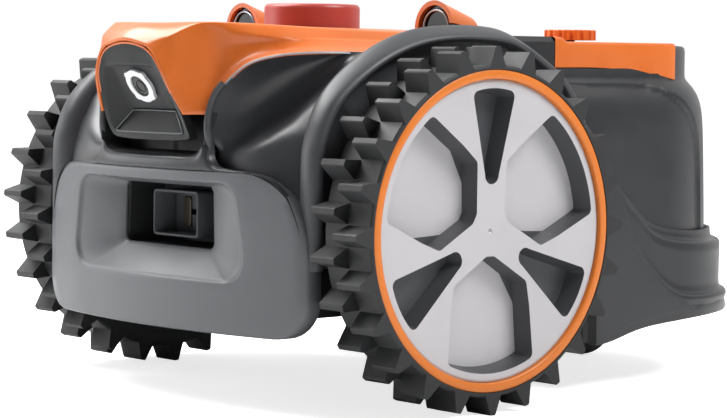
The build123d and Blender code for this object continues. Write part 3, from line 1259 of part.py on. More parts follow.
with BuildPart() as battery_hatch:
    with BuildSketch(Plane.XY.offset(FLOOR_BOTTOM - HATCH_THICKNESS)):
        add(battery_plan(HATCH_MARGIN))
    extrude(amount=HATCH_THICKNESS)
    chamfer(battery_hatch.edges().group_by(Axis.Z)[0], length=1)
    with BuildSketch(Plane.XY.offset(FLOOR_BOTTOM)):
        add(battery_plan(BATTERY_GAP - SEAM))
    extrude(amount=FLOOR_THICKNESS)
    with BuildSketch(Plane.XY.offset(FLOOR_BOTTOM - HATCH_THICKNESS)):
        with Locations(*mirrored(((BATTERY_STATION - HATCH_SCREW[1], HATCH_SCREW[0]),
                                  (BATTERY_STATION + HATCH_SCREW[1], HATCH_SCREW[0])))):
            Circle(SCREW_DIAMETER / 2 + FIT)
    extrude(amount=HATCH_THICKNESS, mode=Mode.SUBTRACT)
write_out(battery_hatch, "battery_hatch")

with BuildPart() as battery_pack:
    with BuildSketch(Plane.XY.offset(FLOOR_TOP)):
        add(battery_plan(0))
    extrude(amount=BATTERY_SIZE[2])
    fillet(battery_pack.edges().group_by(Axis.Z)[-1], 4)
    with BuildSketch(Plane.XY.offset(FLOOR_TOP + BATTERY_SIZE[2])):
        with Locations((0, station(BATTERY_STATION) + BATTERY_SIZE[1] / 4)):
            RectangleRounded(40, 18, 3)
    extrude(amount=6)
write_out(battery_pack, "battery_pack")

with BuildPart() as main_board:
    with BuildSketch(Plane.XY.offset(BOARD_POST_TOP)):
        with Locations((0, station(MAIN_BOARD_STATION))):
            RectangleRounded(MAIN_BOARD[0], MAIN_BOARD[1], 4)
    extrude(amount=BOARD_THICKNESS)
    with BuildSketch(Plane.XY.offset(BOARD_POST_TOP + BOARD_THICKNESS)):
        with Locations((-38, station(MAIN_BOARD_STATION) - 14), (34, station(MAIN_BOARD_STATION) - 18)):
            Rectangle(30, 30)
    extrude(amount=12)
    with BuildSketch(Plane.XY.offset(BOARD_POST_TOP + BOARD_THICKNESS)):
        with GridLocations(16, 0, 5, 1):
            with Locations((0, station(MAIN_BOARD_STATION) + 28)):
                Rectangle(11, 9)
    extrude(amount=8)
write_out(main_board, "main_board")

# ---------------------------------------------------------------- drive motors and bearings
GEARBOX_LENGTH = 40.0
MOTOR_BODY_DIAMETER = 44.0


def build_gear_motor(side):
    with BuildPart() as motor:
        with BuildSketch(axle_plane(side * MOTOR_FACE_X)):
            Circle(MOTOR_DIAMETER / 2)
        extrude(amount=-side * GEARBOX_LENGTH)
        chamfer(motor.edges().filter_by(GeomType.CIRCLE), length=1.5)
        with BuildSketch(axle_plane(side * (MOTOR_FACE_X - GEARBOX_LENGTH))):
            Circle(MOTOR_BODY_DIAMETER / 2)
        extrude(amount=-side * (MOTOR_LENGTH - GEARBOX_LENGTH))
        with BuildSketch(axle_plane(side * MOTOR_FACE_X)):
            Circle(AXLE_DIAMETER / 2 + FIT)
        extrude(amount=-side * (MOTOR_GRIP + SEAM), mode=Mode.SUBTRACT)
    return motor


with BuildPart() as axle_bearings:
    for side in SIDES.values():
        with BuildSketch(axle_plane(side * SIDE_PLATE_X)):
            Circle(BEARING_OUTER / 2)
            Circle(AXLE_DIAMETER / 2 + FIT, mode=Mode.SUBTRACT)
        extrude(amount=side * BEARING_OUTER / 2)
write_out(axle_bearings, "axle_bearings")
for name, side in SIDES.items():
    write_out(build_gear_motor(side), f"{name}_gear_motor")

# ---------------------------------------------------------------- cutting unit
CARRIER_BOTTOM = 66.0
ARM_WIDTH = 24.0
ARM_THICKNESS = 12.0
CUT_MOTOR_HEIGHT = 40.0
DISC_SHAFT = 8.0
SHAFT_HEAD = (16.0, 3.0)    # head under the disc, diameter and thickness
BLADE_GAP = 0.4
BLADE_PIVOT_RADIUS = BLADE_TIP_RADIUS - BLADE_SIZE[0] + 6
BLADE_TOP = DISC_HEIGHT - BLADE_GAP
CARRIER_TOP = CARRIER_BOTTOM + CARRIER_HEIGHT

with BuildPart() as cutting_carrier:
    with BuildSketch(Plane.XY.offset(CARRIER_BOTTOM)):
        with Locations((0, station(DISC_STATION))):
            Circle(CARRIER_DIAMETER / 2)
    extrude(amount=CARRIER_HEIGHT)
    with BuildSketch(Plane.XY.offset(CARRIER_TOP - ARM_THICKNESS)):
        with Locations((0, station((DISC_STATION + KNOB_STATION) / 2))):
            Rectangle(ARM_WIDTH, KNOB_STATION - DISC_STATION)
        with Locations((0, station(KNOB_STATION))):
            Circle(ARM_WIDTH / 2)
    extrude(amount=ARM_THICKNESS)
    with BuildSketch(Plane.XY.offset(CARRIER_BOTTOM + WALL)):
        with Locations((0, station(DISC_STATION))):
            Circle(CARRIER_DIAMETER / 2 - WALL)
    extrude(amount=CARRIER_HEIGHT, mode=Mode.SUBTRACT)
    with BuildSketch(Plane.XY.offset(CARRIER_BOTTOM + WALL)):
        with Locations((0, station(DISC_STATION))):
            Circle(CUT_MOTOR_DIAMETER / 2 + WALL)
            Circle(CUT_MOTOR_DIAMETER / 2, mode=Mode.SUBTRACT)
    extrude(amount=CUT_MOTOR_HEIGHT / 2)
    with BuildSketch(Plane.XY.offset(CARRIER_BOTTOM - 1)):
        with Locations((0, station(DISC_STATION))):
            Circle(DISC_SHAFT)
        with Locations((0, station(KNOB_STATION))):
            Circle(STEM_DIAMETER / 2 + FIT)
    extrude(amount=CARRIER_HEIGHT + 2, mode=Mode.SUBTRACT)
write_out(cutting_carrier, "cutting_carrier")

with BuildPart() as blade_motor:
    with BuildSketch(Plane.XY.offset(CARRIER_BOTTOM + WALL)):
        with Locations((0, station(DISC_STATION))):
            Circle(CUT_MOTOR_DIAMETER / 2)
    extrude(amount=CUT_MOTOR_HEIGHT)
    chamfer(blade_motor.edges().group_by(Axis.Z)[-1], length=2)
    with BuildSketch(Plane.XY.offset(CARRIER_BOTTOM + WALL)):
        with Locations((0, station(DISC_STATION))):
            Circle(DISC_SHAFT / 2 + FIT)
    extrude(amount=CUT_MOTOR_HEIGHT / 2, mode=Mode.SUBTRACT)
write_out(blade_motor, "blade_motor")

with BuildPart() as blade_disc:
    with BuildSketch(Plane.XY.offset(DISC_HEIGHT)):
        with Locations((0, station(DISC_STATION))):
            Circle(DISC_DIAMETER / 2)
    extrude(amount=DISC_THICKNESS)
    chamfer(blade_disc.edges().group_by(Axis.Z)[-1], length=DISC_THICKNESS / 2)
    with BuildSketch(Plane.XY.offset(DISC_HEIGHT)):
        with Locations((0, station(DISC_STATION))):
            with PolarLocations(BLADE_PIVOT_RADIUS - 26, 2 * BLADE_COUNT):
                Circle(DISC_SHAFT)
    extrude(amount=DISC_THICKNESS, mode=Mode.SUBTRACT)
    with BuildSketch(Plane.XY.offset(DISC_HEIGHT)):
        with Locations((0, station(DISC_STATION))):
            with PolarLocations(BLADE_PIVOT_RADIUS, BLADE_COUNT):
                Circle(BLADE_PIN_DIAMETER / 2)
    extrude(amount=DISC_THICKNESS, mode=Mode.SUBTRACT)
    with BuildSketch(Plane.XY.offset(DISC_HEIGHT)):
        with Locations((0, station(DISC_STATION))):
            Circle(DISC_SHAFT / 2 + SEAT_GAP / 2)
    extrude(amount=DISC_THICKNESS, mode=Mode.SUBTRACT)
write_out(blade_disc, "blade_disc")

with BuildPart() as disc_shaft:
    with BuildSketch(Plane.XY.offset(DISC_HEIGHT - SHAFT_HEAD[1])):
        with Locations((0, station(DISC_STATION))):
            Circle(SHAFT_HEAD[0] / 2)
    extrude(amount=SHAFT_HEAD[1])
    with BuildSketch(Plane.XY.offset(DISC_HEIGHT)):
        with Locations((0, station(DISC_STATION))):
            Circle(DISC_SHAFT / 2)
    extrude(amount=CUT_MOTOR_HEIGHT / 2)
    chamfer(disc_shaft.edges().group_by(Axis.Z)[-1], length=0.5)
write_out(disc_shaft, "disc_shaft")


def blade_pivot(index):
    """X and Y of a blade's pivot on the disc."""
    angle = math.radians(index * 360 / BLADE_COUNT)
    return (BLADE_PIVOT_RADIUS * math.cos(angle),
            station(DISC_STATION) + BLADE_PIVOT_RADIUS * math.sin(angle))


for index in range(BLADE_COUNT):
    with BuildPart() as blade:
        with BuildSketch(Plane.XY.offset(BLADE_TOP - BLADE_SIZE[2])):
            with Locations(Location((*blade_pivot(index), 0), (0, 0, index * 360 / BLADE_COUNT))):
                with Locations((BLADE_SIZE[0] / 2 - 6, 0)):
                    RectangleRounded(BLADE_SIZE[0], BLADE_SIZE[1], 3)
                Circle(BLADE_PIN_DIAMETER / 2 + FIT, mode=Mode.SUBTRACT)
        extrude(amount=BLADE_SIZE[2])
    write_out(blade, f"blade_{index + 1}")

with BuildPart() as blade_screws:
    for index in range(BLADE_COUNT):
        with BuildSketch(Plane.XY.offset(BLADE_TOP - BLADE_SIZE[2] - BLADE_GAP)):
            with Locations(blade_pivot(index)):
                Circle(BLADE_PIN_DIAMETER)
        extrude(amount=-2)
        with BuildSketch(Plane.XY.offset(BLADE_TOP - BLADE_SIZE[2] - BLADE_GAP)):
            with Locations(blade_pivot(index)):
                Circle(BLADE_PIN_DIAMETER / 2)
        extrude(amount=BLADE_SIZE[2] + 2 * BLADE_GAP + DISC_THICKNESS)
write_out(blade_screws, "blade_screws")

# ---------------------------------------------------------------- rear caster
CROWN_BOTTOM = 60.5
CROWN_TOP = FLOOR_BOTTOM - SEAM
FORK_EYE = 8.0              # radius of the fork's cheek round the pin
WHEEL_SIDE_GAP = 1.0
CASTER_AXLE = CASTER_STATION + CASTER_TRAIL
CASTER_Z = CASTER_DIAMETER / 2
FORK_INNER = CASTER_WIDTH / 2 + WHEEL_SIDE_GAP

with BuildPart() as caster_fork:
    with BuildSketch(Plane.XY.offset(CROWN_BOTTOM)):
        with Locations((0, station(CASTER_STATION + CASTER_TRAIL / 3))):
            SlotOverall(CASTER_TRAIL + 2 * FORK_EYE + 12, 2 * (FORK_INNER + FORK_WALL), rotation=90)
    extrude(amount=CROWN_TOP - CROWN_BOTTOM)
    for side in SIDES.values():
        with BuildSketch(side_plane(side * FORK_INNER)):
            Polygon((station(CASTER_STATION - 6), CROWN_TOP), (station(CASTER_AXLE), CROWN_TOP),
                    (station(CASTER_AXLE + FORK_EYE), CASTER_Z),
                    (station(CASTER_AXLE - FORK_EYE), CASTER_Z - 2), align=None)
            with Locations((station(CASTER_AXLE), CASTER_Z)):
                Circle(FORK_EYE)
                Circle(CASTER_PIN / 2, mode=Mode.SUBTRACT)
        extrude(amount=side * FORK_WALL)
    with BuildSketch(Plane.XY.offset(CROWN_TOP)):
        with Locations((0, station(CASTER_STATION))):
            Circle(CASTER_STEM / 2)
    extrude(amount=CASTER_BORE_TOP - SEAM - CROWN_TOP)
write_out(caster_fork, "caster_fork")

with BuildPart() as caster_wheel:
    with BuildSketch(Plane.XZ):
        with BuildLine():
            half = CASTER_WIDTH / 2
            crown = ThreePointArc((-half, CASTER_Z - 4), (0, CASTER_Z), (half, CASTER_Z - 4))
            Polyline(crown @ 1, (half, CASTER_PIN / 2 + FIT), (-half, CASTER_PIN / 2 + FIT), crown @ 0)
        make_face()
    revolve(axis=Axis.X)
caster_wheel_placed = Pos(0, station(CASTER_AXLE), CASTER_Z) * caster_wheel.part
caster_wheel_placed.label = "caster_wheel"
export_step(caster_wheel_placed, "parts/caster_wheel.step")

with BuildPart() as caster_pin:
    with BuildSketch(side_plane(-FORK_INNER - FORK_WALL)):
        with Locations((station(CASTER_AXLE), CASTER_Z)):
            Circle(CASTER_PIN / 2)
    extrude(amount=2 * (FORK_INNER + FORK_WALL))
    chamfer(caster_pin.edges().filter_by(GeomType.CIRCLE), length=0.5)
write_out(caster_pin, "caster_pin")
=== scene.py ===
import bpy
import bmesh
import math
import json
from mathutils import Matrix, Vector


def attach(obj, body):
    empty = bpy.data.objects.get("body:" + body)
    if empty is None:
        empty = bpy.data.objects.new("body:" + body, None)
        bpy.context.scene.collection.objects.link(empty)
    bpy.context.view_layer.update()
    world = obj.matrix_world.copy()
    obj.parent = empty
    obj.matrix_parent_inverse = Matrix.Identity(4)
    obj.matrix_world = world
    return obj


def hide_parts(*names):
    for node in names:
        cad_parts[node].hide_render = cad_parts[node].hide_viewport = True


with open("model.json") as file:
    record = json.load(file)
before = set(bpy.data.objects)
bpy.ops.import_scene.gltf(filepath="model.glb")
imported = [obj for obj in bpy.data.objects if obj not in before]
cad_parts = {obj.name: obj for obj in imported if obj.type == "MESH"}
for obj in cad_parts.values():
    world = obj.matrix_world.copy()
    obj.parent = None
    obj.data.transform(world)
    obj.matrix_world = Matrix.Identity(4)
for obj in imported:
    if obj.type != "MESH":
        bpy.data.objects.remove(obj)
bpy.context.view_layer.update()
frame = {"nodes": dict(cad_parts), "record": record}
nodes = frame["nodes"]

# Lengths are in millimetres until at() or MM turns them into metres.
MM = 0.001
AXLE_Y = -99.0                      # the drive axle's middle
AXLE_Z = 128.0
WELD, SLIVER = 0.02, 0.01           # places closer than this join; edges shorter than this go
# The hub cap has three tapered slots and three round lobes; beyond SLOT_FLOOR_X lies its face.
SLOT_FLOOR_X = 200.0
SLOT_COUNT = 3.0
SLOT_SHARE = 0.15
# Painted shade on the hub cap: faces whose normal leans less toward x than these take the darker slot colour.
WALL_FACING, FLOOR_FACING = 0.55, 0.85
# The front face is an arc across the mower, and BOW_CURVE its falling back per square of x.
BOW_FRONT = -144.0
BOW_RADIUS = 500
BOW_CURVE = 0.001011
FUNNEL_SHADE_START, FUNNEL_SHADE_END = 1.0, 4.5     # how far behind the face the painted shade begins and is full


# ---------------------------------------------------------------- materials
def linear(code):
    """Linear RGBA of an sRGB hex colour."""
    values = [int(code[i:i + 2], 16) / 255 for i in (1, 3, 5)]
    return [v / 12.92 if v <= 0.04045 else ((v + 0.055) / 1.055) ** 2.4 for v in values] + [1.0]


def add(tree, kind, inputs=None, **settings):
    """A new shader node; each input is a constant or another node's output."""
    node = tree.nodes.new(kind)
    for key, value in settings.items():
        setattr(node, key, value)
    for key, value in (inputs or {}).items():
        if isinstance(value, bpy.types.NodeSocket):
            tree.links.new(value, node.inputs[key])
        else:
            node.inputs[key].default_value = value
    return node


def slot_painted_shade(tree, place, colour, steep):
    """Painted shade: darkens the walls of the hub cap's slots and lobes, and the floors of the slots, where
    shade falls.
    """
    normal = add(tree, "ShaderNodeNewGeometry").outputs["True Normal"]
    across = add(tree, "ShaderNodeSeparateXYZ", {"Vector": normal}).outputs["X"]
    flat = add(tree, "ShaderNodeMath", {0: across}, operation="ABSOLUTE").outputs[0]
    face = add(tree, "ShaderNodeMapRange", {
        "Value": flat, "From Min": WALL_FACING, "From Max": FLOOR_FACING})
    place_x, place_y, place_z = add(tree, "ShaderNodeSeparateXYZ", {"Vector": place}).outputs
    depth = add(tree, "ShaderNodeMath", {0: place_x}, operation="ABSOLUTE").outputs[0]
    low = add(tree, "ShaderNodeMath", {0: depth, 1: SLOT_FLOOR_X * MM}, operation="GREATER_THAN")
    rise = add(tree, "ShaderNodeMath", {0: place_z, 1: AXLE_Z * MM}, operation="SUBTRACT").outputs[0]
    reach = add(tree, "ShaderNodeMath", {0: place_y, 1: AXLE_Y * MM}, operation="SUBTRACT").outputs[0]
    turn = add(tree, "ShaderNodeMath", {0: rise, 1: reach}, operation="ARCTAN2").outputs[0]
    three = add(tree, "ShaderNodeMath", {0: turn, 1: SLOT_COUNT, 2: math.pi / 2}, operation="MULTIPLY_ADD")
    wave = add(tree, "ShaderNodeMath", {0: three.outputs[0]}, operation="COSINE").outputs[0]
    lobe = add(tree, "ShaderNodeMath", {0: wave, 1: SLOT_SHARE}, operation="LESS_THAN").outputs[0]
    bright = add(tree, "ShaderNodeMath", {0: low.outputs[0], 1: lobe}, operation="MAXIMUM").outputs[0]
    shown = add(tree, "ShaderNodeMath", {0: bright, 1: face.outputs["Result"]}, operation="MULTIPLY")
    paint = add(tree, "ShaderNodeMix", {0: shown.outputs[0], 6: linear(steep), 7: colour},
                data_type="RGBA")
    return paint.outputs[2]


def funnel_painted_shade(tree, place, colour, funnel_shade):
    """Painted shade: darkens what lies deep behind the bowed front face, where shade falls in the funnel."""
    place_x, place_y, _ = add(tree, "ShaderNodeSeparateXYZ", {"Vector": place}).outputs
    square = add(tree, "ShaderNodeMath", {0: place_x, 1: place_x}, operation="MULTIPLY").outputs[0]
    face_y = add(tree, "ShaderNodeMath", {0: square, 1: BOW_CURVE / MM, 2: BOW_FRONT * MM},
                 operation="MULTIPLY_ADD").outputs[0]
    depth = add(tree, "ShaderNodeMath", {0: place_y, 1: face_y}, operation="SUBTRACT").outputs[0]
    share = add(tree, "ShaderNodeMapRange", {
        "Value": depth, "From Min": FUNNEL_SHADE_START * MM, "From Max": FUNNEL_SHADE_END * MM})
    paint = add(tree, "ShaderNodeMix", {0: share.outputs["Result"], 6: colour, 7: linear(funnel_shade)},
                data_type="RGBA")
    return paint.outputs[2]


def surface(name, dark, light, roughness=0.5, spread=0.06, grain=1.2, blotch=35.0, bump=0.05,
            metallic=0.0, ior=1.46, coat=0.0, specular=0.5, steep=None, funnel_shade=None):
    """Moulded or painted surface: two close tints in large blotches, fine grain, uneven gloss.
    The two last colours are painted shade: one in the hub cap's slots, the other deep behind the front face."""
    material = bpy.data.materials.new(name)
    material.use_nodes = True
    tree = material.node_tree
    tree.nodes.clear()
    place = add(tree, "ShaderNodeTexCoord").outputs["Object"]
    cloud = add(tree, "ShaderNodeTexNoise", {"Vector": place, "Scale": 1 / (blotch * MM), "Detail": 3.0})
    tint = add(tree, "ShaderNodeMix", {0: cloud.outputs["Fac"], 6: linear(dark), 7: linear(light)},
               data_type="RGBA")
    colour = tint.outputs[2]
    # Painted shade on the walls and floors of the hub cap's slots.
    if steep:
        colour = slot_painted_shade(tree, place, colour, steep)
    # Painted shade deep in the front panel's funnel.
    if funnel_shade:
        colour = funnel_painted_shade(tree, place, colour, funnel_shade)
    fine = add(tree, "ShaderNodeTexNoise", {"Vector": place, "Scale": 1 / (grain * MM), "Detail": 2.0})
    gloss = add(tree, "ShaderNodeMapRange", {
        "Value": cloud.outputs["Fac"], "From Min": 0.3, "From Max": 0.7,
        "To Min": roughness - spread, "To Max": roughness + spread})
    relief = add(tree, "ShaderNodeBump", {
        "Height": fine.outputs["Fac"], "Strength": bump, "Distance": 0.2 * MM})
    shader = add(tree, "ShaderNodeBsdfPrincipled", {
        "Base Color": colour, "Roughness": gloss.outputs["Result"], "Normal": relief.outputs["Normal"],
        "Metallic": metallic, "IOR": ior, "Coat Weight": coat, "Specular IOR Level": specular})
    add(tree, "ShaderNodeOutputMaterial", {"Surface": shader.outputs["BSDF"]})
    return material


ORANGE = surface("orange_abs", "#CB6222", "#D36E2D", roughness=0.33, grain=0.5, bump=0.02)
DARK = surface("dark_asa", "#2C2D30", "#333437", roughness=0.34, grain=0.7, bump=0.05)
DARK_REAR = surface("dark_asa_rear", "#2A2B2D", "#303133", roughness=0.36, grain=0.7, bump=0.06)
# Lighter copy of the dark plastic for the fenders and the band arms: the lighter tint is a painted sheen.
DARK_LIT = surface("dark_asa_lit", "#3B3C3F", "#424346", roughness=0.46, grain=0.7, bump=0.05)
# Light grey for the seam ridge: painted highlight along the seam's edge.
SEAM_HIGHLIGHT = surface("grey_asa_painted_highlight", "#8A8B8E", "#949598", roughness=0.4)
GREY = surface("grey_asa", "#56585B", "#606265", roughness=0.42, grain=0.6, bump=0.08)
# The panel is darker further into its funnel: painted shade.
PANEL = surface("grey_asa_panel", "#56585B", "#606265", roughness=0.42, grain=0.6, bump=0.08, funnel_shade="#393B3E")
BLACK = surface("black_pp", "#17181A", "#1E1F21", roughness=0.5, grain=0.8, bump=0.08)
# Silver paint; its steep colour is painted shade in the hub cap's slots.
SILVER = surface("silver_painted_abs", "#B5B3B6", "#BEBCBF", roughness=0.4, metallic=0.15, grain=0.4,
                 bump=0.02, steep="#4A4B4E")
VISOR = surface("dark_visor_asa", "#202123", "#272829", roughness=0.42, grain=0.7, bump=0.06, specular=0.22)
HUB = surface("black_pa_gf", "#1A1B1D", "#222325", roughness=0.55)
RING = surface("orange_ring_abs", "#CC6C20", "#D4772B", roughness=0.38, grain=0.5, bump=0.02)
TYRE = surface("tread_rubber", "#191A1C", "#202123", roughness=0.62, grain=0.9, bump=0.15, ior=1.52)
RED = surface("red_abs", "#A5423C", "#B04C45", roughness=0.36, grain=0.5, bump=0.02)
KEY = surface("grey_silicone", "#3A3C3F", "#45474A", roughness=0.6)
STEEL = surface("brushed_steel", "#8E9094", "#A6A8AC", roughness=0.35, metallic=1.0, grain=0.3, ior=2.5)
NICKEL = surface("dark_nickel", "#4A453C", "#565045", roughness=0.35, metallic=0.8)
MOTOR = surface("zinc_plated_case", "#6B6E73", "#7C7F84", roughness=0.4, metallic=0.7)
BATTERY = surface("battery_pc", "#222426", "#2B2D2F", roughness=0.5)
BOARD = surface("fr4_board", "#14502E", "#1B6238", roughness=0.45)
WHITE = surface("white_abs", "#D5D6D8", "#E2E3E5", roughness=0.35)
DISPLAY = surface("display_glass", "#0B0E12", "#11151A", roughness=0.12, bump=0.0, coat=0.6)
LENS = surface("lens_glass", "#050608", "#0B0D12", roughness=0.14, spread=0.02, bump=0.0, specular=0.3)

LOOKS = {
    "orange_plastic": ORANGE, "dark_plastic": DARK, "grey_plastic": GREY, "black_plastic": BLACK,
    "silver_plastic": SILVER, "hub_plastic": HUB, "tyre_rubber": TYRE, "red_plastic": RED,
    "key_plastic": KEY, "lens_clear": LENS, "white_plastic": WHITE, "display_glass": DISPLAY,
    "steel": STEEL, "contact_brass": NICKEL, "motor_case": MOTOR, "battery_case": BATTERY,
    "circuit_board": BOARD,
}
for part in frame["record"]["subparts"]:
    mesh = nodes[part["node"]].data
    mesh.materials.clear()
    mesh.materials.append(LOOKS[part["material_slot"]])


# ---------------------------------------------------------------- mesh helpers
def at(x, y, z):
    """A place given in millimetres from the middle of the drive axle."""
    return Vector((x * MM, (y + AXLE_Y) * MM, (z + AXLE_Z) * MM))


def spline(points, steps, tight=None, level=False):
    """Smooth curve through points; an index in tight stays an edge rounded by that radius.
    A level curve starts square to the middle plane, where it meets its mirror image."""
    pts = []
    for i, p in enumerate(points):
        p = Vector(p)
        if tight and i in tight and 0 < i < len(points) - 1:
            before, after = Vector(points[i - 1]) - p, Vector(points[i + 1]) - p
            radius = min(tight[i], before.length / 2.2, after.length / 2.2)
            head, tail = p + before.normalized() * radius, p + after.normalized() * radius
            pts += [(head, 1), ((head + tail + 2 * p) / 4, 1), (tail, 1)]
        else:
            pts.append((p, steps))
    out = []
    for i in range(len(pts) - 1):
        p1, count = pts[i]
        p2, following = pts[i + 1]
        p0 = Vector((-p2.x, p2.y, p2.z)) if level and i == 0 else pts[max(i - 1, 0)][0]
        p3 = pts[min(i + 2, len(pts) - 1)][0]
        n = steps if max(count, following) > 1 else 1
        for k in range(n):
            t = k / n
            gap_in, gap, gap_out = [max((b - a).length, 1e-6) ** 0.5
                                    for a, b in ((p0, p1), (p1, p2), (p2, p3))]
            slope = p2 - p1
            if i or level:
                slope = (p2 - p1) + gap * ((p1 - p0) / gap_in - (p2 - p0) / (gap_in + gap))
            slope_out = p2 - p1
            if i < len(pts) - 2:
                slope_out = (p2 - p1) + gap * ((p3 - p2) / gap_out - (p3 - p1) / (gap + gap_out))
            out.append((2 * t ** 3 - 3 * t ** 2 + 1) * p1 + (t ** 3 - 2 * t ** 2 + t) * slope
                       + (3 * t ** 2 - 2 * t ** 3) * p2 + (t ** 3 - t ** 2) * slope_out)
    out.append(pts[-1][0])
    return out


def lattice(rows, across=4, along=4, tight=None, tight_rows=None, level=False):
    """Fine grid of places from a coarse one."""
    fine = [spline(row, across, tight, level) for row in rows]
    columns = [spline([row[i] for row in fine], along, tight_rows) for i in range(len(fine[0]))]
    return [[column[j] for column in columns] for j in range(len(columns[0]))]


def relax(grid, rounds):
    """Evens out a fine grid: each inner place moves to the middle of its neighbours; the rim stays."""
    for _ in range(rounds):
        inner = []
        for above, row, below in zip(grid, grid[1:], grid[2:]):
            middle = [(row[j - 1] + row[j + 1] + above[j] + below[j]) / 4 for j in range(1, len(row) - 1)]
            inner.append([row[0]] + middle + [row[-1]])
        grid = [grid[0]] + inner + [grid[-1]]
    return grid


def grid_mesh(grids, mirrored=True, closed=False, flip=False):
    """One mesh from fine grids, with their mirror images."""
    bm = bmesh.new()
    for grid in grids:
        for side in ((1, -1) if mirrored else (1,)):
            verts = [[bm.verts.new(at(side * p.x, p.y, p.z)) for p in row] for row in grid]
            for a, b in zip(verts, verts[1:]):
                wrap = len(a) if closed else len(a) - 1
                for i in range(wrap):
                    j = (i + 1) % len(a)
                    quad = (a[i], a[j], b[j], b[i])
                    bm.faces.new(quad if (side > 0) != flip else quad[::-1])
    bmesh.ops.remove_doubles(bm, verts=bm.verts, dist=WELD * MM)
    bmesh.ops.dissolve_degenerate(bm, edges=bm.edges, dist=SLIVER * MM)
    return bm


def piece(name, bm, material, body, covers=(), wall=0.0, angle=35, offset=-1.0):
    """Object made of a mesh; it rides on a body and stands for CAD nodes."""
    for face in bm.faces:
        face.smooth = True
    for edge in bm.edges:
        if len(edge.link_faces) == 2 and edge.calc_face_angle(0) > math.radians(angle):
            edge.smooth = False
    mesh = bpy.data.meshes.new(name)
    bm.to_mesh(mesh)
    bm.free()
    obj = bpy.data.objects.new(name, mesh)
    bpy.context.collection.objects.link(obj)
    mesh.materials.append(material)
    if wall:
        shell = obj.modifiers.new("wall", "SOLIDIFY")
        shell.thickness = wall * MM
        shell.offset = offset
        shell.use_even_offset = False
    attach(obj, body)
    if covers:
        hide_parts(*covers)
    return obj


def bow(x):
    """Where the bowed front face lies along y, at x."""
    return BOW_FRONT + BOW_RADIUS - math.sqrt(BOW_RADIUS ** 2 - x ** 2)


def rounded_loop(corners, radii, per_corner=6, per_side=6):
    """Closed loop (x, z) round four corners given anticlockwise; equal counts for every loop."""
    loop = []
    count = len(corners)
    for i, (corner, radius) in enumerate(zip(corners, radii)):
        p, before, after = (Vector(c) for c in (corner, corners[i - 1], corners[(i + 1) % count]))
        u, v = (before - p).normalized(), (after - p).normalized()
        half = u.angle(v) / 2
        reach = min(radius / math.tan(half), (before - p).length / 2, (after - p).length / 2)
        radius = reach * math.tan(half)
        middle = p + (u + v).normalized() * (radius / math.sin(half))
        start, end = p + u * reach, p + v * reach
        a0 = math.atan2(start.y - middle.y, start.x - middle.x)
        a1 = math.atan2(end.y - middle.y, end.x - middle.x)
        turn = (a1 - a0 + math.pi) % (2 * math.pi) - math.pi
        for k in range(per_corner + 1):
            a = a0 + turn * k / per_corner
            loop.append(Vector((middle.x + radius * math.cos(a), middle.y + radius * math.sin(a))))
        following = Vector(corners[(i + 1) % count])
        back_off = (p - following).normalized()
        f_half = (Vector(corners[(i + 2) % count]) - following).angle(p - following) / 2
        f_reach = min(radii[(i + 1) % count] / math.tan(f_half), (p - following).length / 2,
                      (Vector(corners[(i + 2) % count]) - following).length / 2)
        goal = following + back_off * f_reach
        for k in range(1, per_side):
            loop.append(end.lerp(goal, k / per_side))
    return loop


def rings(loops, depths):
    """Rows of places from (x, z) loops and the depth of each point."""
    return [[Vector((p.x, depth(p), p.y)) for p in loop] for loop, depth in zip(loops, depths)]


def between(loop_a, loop_b, t):
    """Loop at a share t of the way from one loop to the other."""
    return [a.lerp(b, t) for a, b in zip(loop_a, loop_b)]


def rounded_box(x, z, half, rise, radius, steps=5):
    """Closed loop (x, z) of a rounded rectangle."""
    loop = []
    for turn, (sx, sz) in enumerate(((1, 1), (-1, 1), (-1, -1), (1, -1))):
        for k in range(steps + 1):
            a = math.pi / 2 * (turn + k / steps)
            loop.append((x + sx * (half - radius) + radius * math.cos(a),
                         z + sz * (rise - radius) + radius * math.sin(a)))
    return loop


# ---------------------------------------------------------------- front panel with its docking recess
THROAT_Y = -122.3           # where the recess's sloping sides end
SOCKET_END = -92.0          # the black socket's inner end
BLOCK_Z = 5                 # the contact block's middle
BLOCK_WIDER = 10            # how much more wide than high it is, to each side
BLOCK_RINGS = ((27, 3.5, SOCKET_END), (27, 3.5, -117.0), (26.4, 3, -117.8), (25.4, 2.6, -117.8),
               (24.8, 2.2, -117), (24.4, 2, -98.4), (20, 2, -98.2), (12, 1, -98.2))


